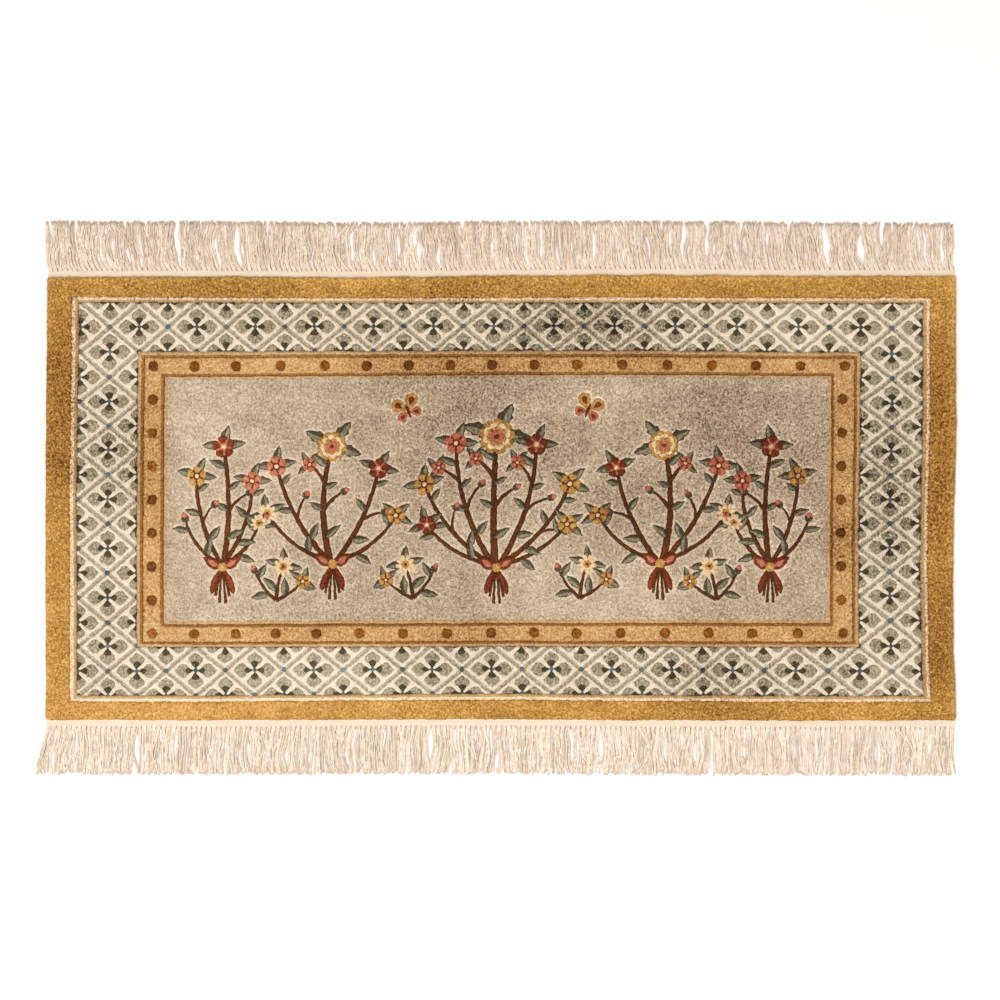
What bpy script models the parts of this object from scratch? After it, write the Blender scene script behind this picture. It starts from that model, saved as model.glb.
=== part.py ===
"""Hand-knotted silk rug lying flat: a thick carved pile, and a woven strip with a fringe on each long edge.

Metres, +Z up. X runs along the rug, and +Y points at its back edge. The origin is the middle of the pile's
flat underside. The shape is drawn first as the weaver's straight plan, and laid() then moves each point to
where the uneven rug really lies.
"""

import math
import random
from collections import namedtuple

import bmesh
import bpy
from mathutils import Vector
from mathutils.geometry import delaunay_2d_cdt

MM = 0.001
SHARP_ANGLE = 12.0  # degrees between faces from which an edge is drawn sharp

# Pile
HALF_LENGTH = 610.0 * MM
HALF_WIDTH = 297.5 * MM
PILE_HEIGHT = 9.0 * MM
CORNER_RADIUS = 6.5 * MM
CORNER_STEPS = 3
LONG_SPANS = 12
SHORT_SPANS = 6
LIE_HEIGHT = 0.35 * MM  # how far the surface rises and falls over the floor
LieWave = namedtuple("LieWave", "along across phase")
LIE_WAVES = (LieWave(2.3, 1.1, 0.4), LieWave(-3.7, 2.9, 1.9), LieWave(5.1, -3.3, 4.2))

# Rings of the pile's edge, from the underside up to the flat top
EdgeRing = namedtuple("EdgeRing", "name inset height")
EDGE_RINGS = (
    EdgeRing("underside", 2.0 * MM, 0.0 * MM),
    EdgeRing("foundation", 2.0 * MM, 2.4 * MM),
    EdgeRing("belly", 0.0 * MM, 4.8 * MM),
    EdgeRing("shoulder", 1.5 * MM, 7.9 * MM),
    EdgeRing("top", 4.5 * MM, PILE_HEIGHT),
)
FIRST_TOP_RING = 2  # the belly and what lies inside it is seen from above
INSIDE_ONLY = 1  # the triangulation leaves out what lies outside the outline
SAME_POINT = 0.0001 * MM

# Lines carved into the pile, in millimetres: how far each one lies from the rug's middle on its four sides
CarvedLine = namedtuple("CarvedLine", "name left right front back half_width depth")
GUARD_OUTSIDE = CarvedLine("outside of cream guard", 576.8, 574.7, 271.8, 269.9, 1.4, 1.3)
TRELLIS_OUTSIDE = CarvedLine("outside of trellis", 566.7, 564.6, 262.9, 262.1, 1.7, 1.8)
TRELLIS_INSIDE = CarvedLine("inside of trellis", 487.9, 482.0, 199.3, 197.7, 1.7, 1.8)
DOTS_OUTSIDE = CarvedLine("outside of dotted band", 479.3, 473.0, 192.3, 189.3, 1.5, 1.5)
DOTS_INSIDE = CarvedLine("inside of dotted band", 452.8, 445.0, 171.3, 166.2, 1.5, 1.5)
FIELD_EDGE = CarvedLine("edge of field", 447.6, 439.2, 164.2, 161.4, 1.2, 1.2)
CARVED_LINES = (GUARD_OUTSIDE, TRELLIS_OUTSIDE, TRELLIS_INSIDE, DOTS_OUTSIDE, DOTS_INSIDE, FIELD_EDGE)

# Trellis: bars run both ways through a grid of crossings
FIRST_CROSSING = (-525.2 * MM, -231.9 * MM)
LAST_CROSSING = (524.2 * MM, 229.9 * MM)
CELLS_LONG = 13
CELLS_SHORT = 7
BAR_HALF_WIDTH = 2.5 * MM
BAR_DEPTH = 1.2 * MM

# Petals: four round each middle of a cell, raised inside a pressed outline
Petal = namedtuple("Petal", "direction base shoulder half_width tip")
PETALS = (
    Petal((1.0, 0.0), 3.0 * MM, 15.5 * MM, 9.0 * MM, 26.5 * MM),
    Petal((-1.0, 0.0), 3.0 * MM, 15.5 * MM, 9.0 * MM, 26.5 * MM),
    Petal((0.0, 1.0), 3.0 * MM, 13.5 * MM, 10.0 * MM, 22.8 * MM),
    Petal((0.0, -1.0), 3.0 * MM, 13.5 * MM, 10.0 * MM, 22.8 * MM),
)
PETAL_OUTLINE_DEPTH = 1.3 * MM
PETAL_CROWN_DEPTH = 0.0 * MM
PETAL_BASE_STEP = 1.0 * MM  # a petal cut by the band's edge starts this much further out at a time

# Dots of the inner border, each a low disc in a carved rim
DOTS_LONG = 17
DOTS_SHORT = 9
DOT_DRIFT = 10.0 * MM  # the weaver's middle dots stand this far to the left of an even spacing
DOT_SIDES = 8
DotRing = namedtuple("DotRing", "name radius depth")
DOT_RINGS = (
    DotRing("rim", 7.2 * MM, 0.0 * MM),
    DotRing("groove", 5.6 * MM, 1.5 * MM),
)
DOT_CROWN_DEPTH = 0.6 * MM

# How far each edge lies outside its straight line, in millimetres at even steps along it
EdgeDrift = namedtuple("EdgeDrift", "side steps")
DRIFT_FRONT = EdgeDrift("front, from left to right", (-0.4, 0.4, -0.5, -1.1, 0.3, 0.7, 0.4))
DRIFT_BACK = EdgeDrift("back, from left to right", (-1.2, -0.4, -1.6, 0.8, 1.9, 0.5, 0.3))
DRIFT_LEFT = EdgeDrift("left, from front to back", (0.1, 0.1, 0.5, 0.4, 0.1, -1.3, -1.9))
DRIFT_RIGHT = EdgeDrift("right, from front to back", (0.9, -1.7, -3.3, -1.3, 0.7, 0.8, 0.8))

# Fringes: a woven strip parted from the pile, and the strands that grow out of it
STRIP_GAP = 0.3 * MM
STRIP_THICKNESS = 2.0 * MM
STRANDS = 136
STRAND_STEPS = (0.0, 0.3, 0.66, 1.0)
ROOT_WIDTH = 6.4 * MM
TIP_WIDTH = 3.4 * MM
TIP_HEIGHT = 1.4 * MM
STRAND_BELLY = 0.5 * MM  # how far a strand swells above its root half way along
CLUMP_LEAST = 3
CLUMP_MOST = 6
CLUMP_CLOSING = 0.56  # spacing of a clump's tips as a share of its roots' spacing
CLUMP_LEAN = 3.0 * MM
CLUMP_BEND = 1.6 * MM
TIP_STRAY = 0.3 * MM
Fringe = namedtuple("Fringe", "name side strip_width length ragged left_splay splay_reach seed")
FRINGES = (
    Fringe("fringe_front", -1.0, 11.7 * MM, 61.8 * MM, 1.8 * MM, 11.0 * MM, 70.0 * MM, 11),
    Fringe("fringe_back", 1.0, 10.4 * MM, 63.6 * MM, 1.0 * MM, 0.0 * MM, 70.0 * MM, 23),
)

# Colours are linear
Finish = namedtuple("Finish", "name colour roughness")
GOLD = Finish("gold_silk", (0.46, 0.225, 0.065), 0.55)
CREAM = Finish("cream_silk", (0.60, 0.50, 0.36), 0.6)
TAN = Finish("tan_silk", (0.56, 0.32, 0.125), 0.55)
BEIGE = Finish("beige_silk", (0.47, 0.36, 0.25), 0.55)
COTTON = Finish("cotton", (0.72, 0.60, 0.46), 0.85)


def clear_scene():
    for obj in list(bpy.data.objects):
        bpy.data.objects.remove(obj)


def material(finish):
    """A plain material with the finish's colour and roughness."""
    made = bpy.data.materials.new(finish.name)
    made.use_nodes = True
    shader = made.node_tree.nodes["Principled BSDF"]
    shader.inputs["Base Color"].default_value = (*finish.colour, 1.0)
    shader.inputs["Roughness"].default_value = finish.roughness
    shader.inputs["Metallic"].default_value = 0.0
    made.diffuse_color = (*finish.colour, 1.0)
    return made


def between(steps, share):
    """The value at this share of the way along evenly spaced steps, on straight lines between them."""
    place = min(max(share, 0.0), 1.0) * (len(steps) - 1)
    lower = min(int(place), len(steps) - 2)
    part = place - lower
    return steps[lower] * (1.0 - part) + steps[lower + 1] * part


def laid(x, y):
    """Where a point of the straight plan lies on the floor."""
    along = (x / HALF_LENGTH + 1.0) / 2.0
    across = (y / HALF_WIDTH + 1.0) / 2.0
    along = min(max(along, 0.0), 1.0)
    across = min(max(across, 0.0), 1.0)
    move_x = along * between(DRIFT_RIGHT.steps, across) - (1.0 - along) * between(DRIFT_LEFT.steps, across)
    move_y = across * between(DRIFT_BACK.steps, along) - (1.0 - across) * between(DRIFT_FRONT.steps, along)
    return x + move_x * MM, y + move_y * MM


def lie_height(x, y):
    """The low rise and fall of the pile's top, nought at the edges."""
    fade = (1.0 - (x / HALF_LENGTH) ** 2) * (1.0 - (y / HALF_WIDTH) ** 2)
    rise = 0.0
    for wave in LIE_WAVES:
        turn = math.pi * (wave.along * x / HALF_LENGTH + wave.across * y / HALF_WIDTH) + wave.phase
        rise += math.sin(turn) / len(LIE_WAVES)
    return LIE_HEIGHT * max(fade, 0.0) * rise


def stations(half, spans, start, end):
    """The rug's even stations that lie between start and end, in that order."""
    places = [half * (2.0 * step / spans - 1.0) for step in range(1, spans)]
    low, high = sorted((start, end))
    found = [place for place in places if low < place < high]
    return found if end > start else found[::-1]


def ring_points(left, right, front, back, radius):
    """A rectangle's points, counter-clockwise: round corners, and a point at each station along the sides."""
    corners = (
        (right - radius, radius - front, -90.0),
        (right - radius, back - radius, 0.0),
        (radius - left, back - radius, 90.0),
        (radius - left, radius - front, 180.0),
    )
    steps = CORNER_STEPS if radius > 0.0 else 0
    arcs = []
    for x, y, start_angle in corners:
        turns = [math.radians(start_angle + 90.0 * step / max(steps, 1)) for step in range(steps + 1)]
        arcs.append([Vector((x + radius * math.cos(turn), y + radius * math.sin(turn))) for turn in turns])
    ring = []
    for number, arc in enumerate(arcs):
        ring += arc
        start, end = arc[-1], arcs[(number + 1) % 4][0]
        if number % 2 == 0:
            ring += [Vector((start.x, y)) for y in stations(HALF_WIDTH, SHORT_SPANS, start.y, end.y)]
        else:
            ring += [Vector((x, start.y)) for x in stations(HALF_LENGTH, LONG_SPANS, start.x, end.x)]
    return ring


def outline_ring(inset):
    """The pile's outline drawn in by inset."""
    half_x = HALF_LENGTH - inset
    half_y = HALF_WIDTH - inset
    return ring_points(half_x, half_x, half_y, half_y, CORNER_RADIUS - inset)


def box_of(line, shift=0.0):
    """The rectangle that a carved line follows, moved outwards by shift, from its least X to its most Y."""
    left, right, front, back = (side * MM + shift for side in line[1:5])
    return (-left, right, -front, back)


def ring_of(line, shift=0.0):
    """The points of the rectangle that a carved line follows, moved outwards by shift."""
    left, right, front, back = (side * MM + shift for side in line[1:5])
    return ring_points(left, right, front, back, 0.0)


def inside(point, box):
    return box[0] < point.x < box[1] and box[2] < point.y < box[3]


def band_boxes():
    """The trellis band's outer and inner rectangles, clear of the lines carved along them."""
    outer = box_of(TRELLIS_OUTSIDE, -TRELLIS_OUTSIDE.half_width * MM)
    inner = box_of(TRELLIS_INSIDE, TRELLIS_INSIDE.half_width * MM)
    return outer, inner


def in_band(point):
    """Whether a point lies in the trellis band, clear of the lines carved along it."""
    outer, inner = band_boxes()
    return inside(point, outer) and not inside(point, inner)


def cells():
    """The trellis's cell size along X and Y."""
    size_x = (LAST_CROSSING[0] - FIRST_CROSSING[0]) / CELLS_LONG
    size_y = (LAST_CROSSING[1] - FIRST_CROSSING[1]) / CELLS_SHORT
    return size_x, size_y


def clip(start, end, box):
    """The stretch of a line inside a box, as two shares of its length, or None."""
    low, high = 0.0, 1.0
    step = end - start
    for origin, run, least, most in ((start.x, step.x, box[0], box[1]), (start.y, step.y, box[2], box[3])):
        enter, leave = sorted(((least - origin) / run, (most - origin) / run))
        low = max(low, enter)
        high = min(high, leave)
    return (low, high) if low < high else None


def bar_lines():
    """The starts and ends of the lines along each bar's two sides and middle, clipped to the band."""
    size_x, size_y = cells()
    reach = CELLS_LONG + CELLS_SHORT + 2
    found = []
    for slope in (1.0, -1.0):
        direction = Vector((size_x, slope * size_y))
        normal = Vector((-direction.y, direction.x)).normalized()
        for number in range(-reach, reach):
            through = Vector((FIRST_CROSSING[0] + number * size_x, FIRST_CROSSING[1]))
            for shift in (-BAR_HALF_WIDTH, 0.0, BAR_HALF_WIDTH):
                start = through + normal * shift - direction * reach
                end = through + normal * shift + direction * reach
                found += pieces_in_band(start, end)
    return found


def pieces_in_band(start, end):
    """The one or two stretches of a line that lie in the trellis band."""
    outer, inner = band_boxes()
    whole = clip(start, end, outer)
    if whole is None:
        return []
    hole = clip(start, end, inner)
    if hole is None:
        return [(start.lerp(end, whole[0]), start.lerp(end, whole[1]))]
    stretches = ((whole[0], hole[0]), (hole[1], whole[1]))
    return [(start.lerp(end, low), start.lerp(end, high)) for low, high in stretches if high > low]


def cell_middles():
    """The middle of each cell of the trellis, over the whole grid and half a cell past it."""
    size_x, size_y = cells()
    middles = []
    for row in range(-1, 2 * CELLS_SHORT + 2):
        for column in range(-1, 2 * CELLS_LONG + 2):
            if (row + column) % 2 == 1:
                x = FIRST_CROSSING[0] + size_x * column / 2.0
                y = FIRST_CROSSING[1] + size_y * row / 2.0
                middles.append(Vector((x, y)))
    return middles


def petal_outline(middle, petal):
    """A petal's base, shoulder, tip and other shoulder, or nothing where it leaves the band."""
    out = Vector(petal.direction)
    side = Vector((-out.y, out.x)) * petal.half_width
    base = petal.base
    while base < petal.shoulder and not in_band(middle + out * base):
        base += PETAL_BASE_STEP
    shoulder = middle + out * petal.shoulder
    outline = [middle + out * base, shoulder - side, middle + out * petal.tip, shoulder + side]
    return outline if all(in_band(point) for point in outline) else []


def dot_centres():
    """The middles of the inner border's dots, all the way round."""
    sides = zip(box_of(DOTS_OUTSIDE), box_of(DOTS_INSIDE))
    left, right, front, back = ((outer + inner) / 2.0 for outer, inner in sides)
    centres = []
    for step in range(DOTS_LONG):
        share = step / (DOTS_LONG - 1)
        x = left + (right - left) * share - DOT_DRIFT * math.sin(math.pi * share) ** 2
        centres += [Vector((x, front)), Vector((x, back))]
    for step in range(1, DOTS_SHORT - 1):
        y = front + (back - front) * step / (DOTS_SHORT - 1)
        centres += [Vector((left, y)), Vector((right, y))]
    return centres


def dot_ring(centre, radius):
    """The corners of a dot's outline, with a flat towards each side of the rug."""
    turns = [2.0 * math.pi * (side + 0.5) / DOT_SIDES for side in range(DOT_SIDES)]
    return [centre + radius * Vector((math.cos(turn), math.sin(turn))) for turn in turns]


def distance_to_outline(point, box):
    """How far a point lies from a rectangle's outline."""
    beyond_x = max(box[0] - point.x, 0.0, point.x - box[1])
    beyond_y = max(box[2] - point.y, 0.0, point.y - box[3])
    if beyond_x > 0.0 or beyond_y > 0.0:
        return math.hypot(beyond_x, beyond_y)
    return min(point.x - box[0], box[1] - point.x, point.y - box[2], box[3] - point.y)


def groove(distance, half_width, depth):
    """The depth of a carved V at this distance from its middle."""
    return depth * max(0.0, 1.0 - distance / half_width)


def bar_depth(point):
    """How deep the trellis's bars are carved at a point of the band."""
    if not inside(point, box_of(TRELLIS_OUTSIDE)) or inside(point, box_of(TRELLIS_INSIDE)):
        return 0.0
    size_x, size_y = cells()
    column = (point.x - FIRST_CROSSING[0]) / size_x
    row = (point.y - FIRST_CROSSING[1]) / size_y
    between_bars = size_x * size_y / math.hypot(size_x, size_y)
    nearest = min(abs(place - round(place)) for place in (column + row, column - row))
    return groove(nearest * between_bars, BAR_HALF_WIDTH, BAR_DEPTH)


def edge_height(point):
    """The height that the pile's rounded shoulder leaves at this point."""
    inset = inset_of(point)
    rings = EDGE_RINGS[FIRST_TOP_RING:]
    for outer, inner in zip(rings, rings[1:]):
        if inset <= inner.inset:
            share = max(inset - outer.inset, 0.0) / (inner.inset - outer.inset)
            return outer.height + (inner.height - outer.height) * share
    return PILE_HEIGHT


def inset_of(point):
    """How far a point lies inside the pile's outline, round corners included."""
    from_x = abs(point.x) - (HALF_LENGTH - CORNER_RADIUS)
    from_y = abs(point.y) - (HALF_WIDTH - CORNER_RADIUS)
    if from_x > 0.0 and from_y > 0.0:
        return CORNER_RADIUS - math.hypot(from_x, from_y)
    return CORNER_RADIUS - max(from_x, from_y)


def carved_depth(point):
    """How deep the carved lines and the trellis's bars go at a point of the plan."""
    depth = bar_depth(point)
    for line in CARVED_LINES:
        away = distance_to_outline(point, box_of(line))
        depth = max(depth, groove(away, line.half_width * MM, line.depth * MM))
    return depth


class Plan:
    """Points and the lines between them that the pile's surface has to follow."""

    def __init__(self):
        self.points = []
        self.lines = []
        self.depths = {}  # of the points whose depth isn't that of a carved line

    def add_ring(self, ring):
        first = len(self.points)
        self.points += ring
        self.lines += [(first + step, first + (step + 1) % len(ring)) for step in range(len(ring))]

    def add_pressed_ring(self, ring, depth, crown_depth):
        """A closed outline at one depth, with a point in its middle at another."""
        self.depths.update({len(self.points) + step: depth for step in range(len(ring))})
        self.add_ring(ring)
        self.depths[len(self.points)] = crown_depth
        self.points.append(sum(ring, Vector((0.0, 0.0))) / len(ring))

    def add_line(self, start, end):
        first = len(self.points)
        self.points += [start, end]
        self.lines.append((first, first + 1))


def draw_plan():
    """The pile's plan: its rim, its carved lines, its trellis and its dots."""
    plan = Plan()
    for ring in EDGE_RINGS[FIRST_TOP_RING:]:
        plan.add_ring(outline_ring(ring.inset))
    for line in CARVED_LINES:
        for shift in (-line.half_width, 0.0, line.half_width):
            plan.add_ring(ring_of(line, shift * MM))
    for start, end in bar_lines():
        plan.add_line(start, end)
    for middle in cell_middles():
        for petal in PETALS:
            outline = petal_outline(middle, petal)
            if outline:
                plan.add_pressed_ring(outline, PETAL_OUTLINE_DEPTH, PETAL_CROWN_DEPTH)
    rim, bottom = DOT_RINGS
    for centre in dot_centres():
        plan.add_ring(dot_ring(centre, rim.radius))
        plan.add_pressed_ring(dot_ring(centre, bottom.radius), bottom.depth, DOT_CROWN_DEPTH)
    return plan


def finish_number(point):
    """Which of the pile's finishes a point has, counted inwards over the lines where they change."""
    return sum(inside(point, box_of(line)) for line in (GUARD_OUTSIDE, TRELLIS_INSIDE, FIELD_EDGE))


def build_pile():
    """The pile: a carved top, a rounded edge and a flat underside, as one closed body."""
    plan = draw_plan()
    points, _, faces, origins, _, _ = delaunay_2d_cdt(plan.points, plan.lines, [], INSIDE_ONLY, SAME_POINT)
    mesh = bmesh.new()
    top = []
    for point, found in zip(points, origins):
        named = [plan.depths[origin] for origin in found if origin in plan.depths]
        depth = named[0] if named else carved_depth(point)
        height = edge_height(point) + lie_height(point.x, point.y) - depth
        top.append(mesh.verts.new((*laid(point.x, point.y), height)))
    for face in faces:
        made = mesh.faces.new([top[index] for index in face])
        middle = sum((Vector(points[index]) for index in face), Vector((0.0, 0.0))) / len(face)
        made.material_index = finish_number(middle)
    rim_size = len(outline_ring(0.0))
    place_of = {origin: index for index, found in enumerate(origins) for origin in found}
    upper = [top[place_of[number]] for number in range(rim_size)]
    for ring in reversed(EDGE_RINGS[:FIRST_TOP_RING]):
        lower = []
        for point in outline_ring(ring.inset):
            x, y = laid(point.x, point.y)
            lower.append(mesh.verts.new((x, y, ring.height)))
        for step in range(rim_size):
            after = (step + 1) % rim_size
            mesh.faces.new((lower[step], lower[after], upper[after], upper[step]))
        upper = lower
    mesh.faces.new(list(reversed(upper)))
    bmesh.ops.recalc_face_normals(mesh, faces=mesh.faces)
    bmesh.ops.triangulate(mesh, faces=mesh.faces)
    return finish_object("rug_pile", mesh, (GOLD, CREAM, TAN, BEIGE))


def finish_object(name, mesh, finishes):
    """Turns a bmesh into a named object with its materials."""
    data = bpy.data.meshes.new(name)
    mesh.to_mesh(data)
    mesh.free()
    for finish in finishes:
        data.materials.append(material(finish))
    obj = bpy.data.objects.new(name, data)
    bpy.context.scene.collection.objects.link(obj)
    data.shade_smooth()
    data.set_sharp_from_angle(angle=math.radians(SHARP_ANGLE))
    return obj


def clumps(generator):
    """The strands' numbers, shared out into clumps of uneven size, none smaller than the least."""
    groups = []
    first = 0
    while first < STRANDS:
        count = generator.randint(CLUMP_LEAST, CLUMP_MOST)
        if STRANDS - first - count < CLUMP_LEAST:
            count = STRANDS - first
        groups.append(range(first, first + count))
        first += count
    return groups


def strand_paths(fringe):
    """For each strand, its root's and its tip's place along the rug, its sideways bend and its length."""
    generator = random.Random(fringe.seed)
    pitch = 2.0 * (HALF_LENGTH - CORNER_RADIUS) / STRANDS
    paths = []
    for group in clumps(generator):
        roots = [-HALF_LENGTH + CORNER_RADIUS + pitch * (number + 0.5) for number in group]
        middle = sum(roots) / len(roots)
        splay = fringe.left_splay * max(0.0, 1.0 - (middle + HALF_LENGTH) / fringe.splay_reach)
        lean = generator.uniform(-CLUMP_LEAN, CLUMP_LEAN) - splay
        bend = generator.uniform(-CLUMP_BEND, CLUMP_BEND)
        for root in roots:
            stray = generator.uniform(-TIP_STRAY, TIP_STRAY)
            tip = middle + (root - middle) * CLUMP_CLOSING + lean + stray
            reach = fringe.length + generator.uniform(-fringe.ragged, fringe.ragged)
            paths.append((root, tip, bend, reach))
    return paths


def strand_section(path, share, fringe, inner_y):
    """A strand's three corners at a share of its length: left foot, right foot and ridge."""
    root, tip, bend, reach = path
    gather = share * share * (3.0 - 2.0 * share)
    x = root + (tip - root) * gather + bend * math.sin(math.pi * share)
    y = inner_y + fringe.strip_width + reach * share
    half = (ROOT_WIDTH + (TIP_WIDTH - ROOT_WIDTH) * share) / 2.0
    height = STRIP_THICKNESS + (TIP_HEIGHT - STRIP_THICKNESS) * share
    height += STRAND_BELLY * math.sin(math.pi * share)
    return ((x - half, y, 0.0), (x + half, y, 0.0), (x, y, height))


def fringe_corner(mesh, fringe, place):
    """A corner of the straight plan, laid on the floor on this fringe's side of the rug."""
    x, y, z = place
    edge_x, edge_y = laid(x, fringe.side * min(y, HALF_WIDTH))
    return mesh.verts.new((edge_x, edge_y + fringe.side * max(y - HALF_WIDTH, 0.0), z))


def grow_strand(mesh, fringe, path, inner_y):
    """One strand, open at its root, whose three corners it gives back."""
    sections = []
    for share in STRAND_STEPS:
        places = strand_section(path, share, fringe, inner_y)
        sections.append([fringe_corner(mesh, fringe, place) for place in places])
    for nearer, further in zip(sections, sections[1:]):
        for side in range(3):
            after = (side + 1) % 3
            mesh.faces.new((nearer[side], nearer[after], further[after], further[side]))
    mesh.faces.new(sections[-1])
    return sections[0]


def build_fringe(fringe):
    """A woven strip and the strands that grow out of its outer face, as one closed body."""
    mesh = bmesh.new()
    inner_y = HALF_WIDTH - EDGE_RINGS[0].inset + STRIP_GAP
    outer_y = inner_y + fringe.strip_width
    end_x = HALF_LENGTH - CORNER_RADIUS / 2.0
    feet = [fringe_corner(mesh, fringe, (-end_x, outer_y, 0.0))]
    ridges = [fringe_corner(mesh, fringe, (-end_x, outer_y, STRIP_THICKNESS))]
    for path in strand_paths(fringe):
        left, right, ridge = grow_strand(mesh, fringe, path, inner_y)
        mesh.faces.new((feet[-1], left, ridge, ridges[-1]))
        feet += [left, right]
        ridges.append(ridge)
    feet.append(fringe_corner(mesh, fringe, (end_x, outer_y, 0.0)))
    ridges.append(fringe_corner(mesh, fringe, (end_x, outer_y, STRIP_THICKNESS)))
    mesh.faces.new((feet[-2], feet[-1], ridges[-1], ridges[-2]))
    close_strip(mesh, fringe, inner_y, end_x, feet, ridges)
    bmesh.ops.recalc_face_normals(mesh, faces=mesh.faces)
    bmesh.ops.triangulate(mesh, faces=mesh.faces)
    return finish_object(fringe.name, mesh, (COTTON,))


def close_strip(mesh, fringe, inner_y, end_x, feet, ridges):
    """The strip's inner wall, its two ends, its underside and its top."""
    inner_x = [-end_x, *stations(HALF_LENGTH, LONG_SPANS, -end_x, end_x), end_x]
    low = [fringe_corner(mesh, fringe, (x, inner_y, 0.0)) for x in inner_x]
    high = [fringe_corner(mesh, fringe, (x, inner_y, STRIP_THICKNESS)) for x in inner_x]
    for step in range(len(inner_x) - 1):
        mesh.faces.new((low[step], low[step + 1], high[step + 1], high[step]))
    for end in (0, -1):
        mesh.faces.new((low[end], feet[end], ridges[end], high[end]))
    mesh.faces.new(low + feet[::-1])
    mesh.faces.new(high + ridges[::-1])


def main():
    clear_scene()
    build_pile()
    for fringe in FRINGES:
        build_fringe(fringe)


main()
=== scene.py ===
"""Looks of a hand-knotted silk rug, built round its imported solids.

Metres and +Z up at the end, in the solids' frame, but the plan is drawn in millimetres. Each zone of the
pile is a plan of outlines, the later ones lying on the earlier ones. The zone is filled with evenly spread
points, joined into triangles, raised to the height of the cut pile, and parted into one piece for each silk.
"""

import math
import random
from collections import namedtuple
from functools import cache

import bpy
import numpy as np
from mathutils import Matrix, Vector
from mathutils.geometry import delaunay_2d_cdt
from mathutils.kdtree import KDTree


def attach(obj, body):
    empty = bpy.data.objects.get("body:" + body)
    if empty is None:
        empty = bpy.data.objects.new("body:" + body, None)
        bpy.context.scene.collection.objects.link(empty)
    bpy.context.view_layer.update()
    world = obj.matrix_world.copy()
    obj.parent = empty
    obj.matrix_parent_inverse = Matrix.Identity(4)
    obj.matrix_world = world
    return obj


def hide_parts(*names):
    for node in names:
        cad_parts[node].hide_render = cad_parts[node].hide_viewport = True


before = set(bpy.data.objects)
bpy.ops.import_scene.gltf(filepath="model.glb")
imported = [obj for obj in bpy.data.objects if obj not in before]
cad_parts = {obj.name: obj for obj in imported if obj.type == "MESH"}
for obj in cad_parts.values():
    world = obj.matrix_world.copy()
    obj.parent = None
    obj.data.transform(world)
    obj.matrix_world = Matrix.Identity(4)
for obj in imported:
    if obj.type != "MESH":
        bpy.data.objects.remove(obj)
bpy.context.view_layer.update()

MM = 0.001

# Pile: the solids' size, height and lie, with a finer corner, shoulder and drift than theirs
HALF_LENGTH = 610.0
HALF_WIDTH = 297.5
PILE_HEIGHT = 9.0
BELLY_HEIGHT = 4.8
CORNER_RADIUS = 3.6
SHOULDER = 4.5
SHOULDER_ROUNDNESS = 3.3
LIE_HEIGHT = 0.35
LieWave = namedtuple("LieWave", "along across phase")
LIE_WAVES = (LieWave(2.3, 1.1, 0.4), LieWave(-3.7, 2.9, 1.9), LieWave(5.1, -3.3, 4.2))
DRIFT_FRONT = (0.9, 1.7, 0.8, 0.2, 1.6, 2.0, 1.7)
DRIFT_BACK = (-1.2, -0.4, -1.6, 0.8, 1.9, 0.5, 0.3)
DRIFT_LEFT = (0.1, 0.1, 0.5, 0.4, 0.1, -1.3, -1.9)
DRIFT_RIGHT = (2.9, -0.8, -1.7, 0.3, 3.1, 2.2, 2.2)

# Lines that part one colour or zone from the next: how far each lies from the rug's middle on its four sides
Frame = namedtuple("Frame", "left right front back")
GUARD_OUTSIDE = Frame(576.8, 574.4, 271.4, 268.3)
CREAM_INSIDE = Frame(571.9, 570.1, 267.6, 264.6)
TRELLIS_OUTSIDE = Frame(567.5, 564.8, 263.4, 261.4)
TRELLIS_INSIDE = Frame(487.0, 481.8, 199.3, 196.6)
PEACH_INSIDE = Frame(482.4, 477.1, 195.8, 191.9)
DOTS_OUTSIDE = Frame(478.0, 473.5, 192.2, 188.2)
DOT_LINE = Frame(466.0, 457.6, 180.8, 177.3)
DARK_OUTSIDE = Frame(454.9, 446.8, 171.6, 167.4)
DARK_GROOVE = Frame(450.6, 443.8, 168.0, 164.0)
DARK_INSIDE = Frame(449.8, 443.0, 167.2, 163.2)
FIELD_EDGE = Frame(446.5, 438.3, 163.2, 160.8)

# How far the border lines of each side stray to the back or to the right, from one end of the side to the
# other: the guard's line, the inner border's outer one and its inner one
Stray = namedtuple("Stray", "guard outer inner")
STRAY_FRONT = Stray(
    guard=(-1.1, -0.7, -0.1, 0.5, 0.0, -0.9, -1.2),
    outer=(0.0, 0.0, -0.1, -0.4, 0.0, 0.3, 0.0),
    inner=(-1.3, -1.3, -0.8, -1.0, 0.0, 0.3, 0.5),
)
STRAY_BACK = Stray(
    guard=(2.3, 0.8, 1.1, -0.5, -1.3, -0.9, -0.4),
    outer=(0.3, 0.1, 1.7, 0.3, -0.3, -1.7, -2.0),
    inner=(-0.8, -0.5, 1.3, 0.9, 0.3, -0.1, 0.1),
)
STRAY_LEFT = Stray(
    guard=(0.1, 0.1, 0.3, -0.4, 0.4, 0.9, 0.9),
    outer=(-0.5, -0.5, -0.5, -0.3, 0.0, 0.1, 0.1),
    inner=(-0.9, -0.9, -0.8, -0.5, -0.7, -0.3, -0.3),
)
STRAY_RIGHT = Stray(
    guard=(1.6, 1.6, 0.7, -0.4, -0.4, 0.4, 0.7),
    outer=(0.8, 0.8, 0.8, -0.4, -0.9, -0.1, -0.1),
    inner=(1.2, 1.2, 1.7, 0.4, -0.9, -0.8, -0.8),
)
# Where those lines lie from the middle, with the pile's edge before them and a place in the field after them
STRAY_PLACES_ACROSS = (297.0, 267.0, 191.0, 166.0, 100.0)
STRAY_PLACES_ALONG = (609.0, 571.0, 479.0, 449.0, 380.0)

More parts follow.
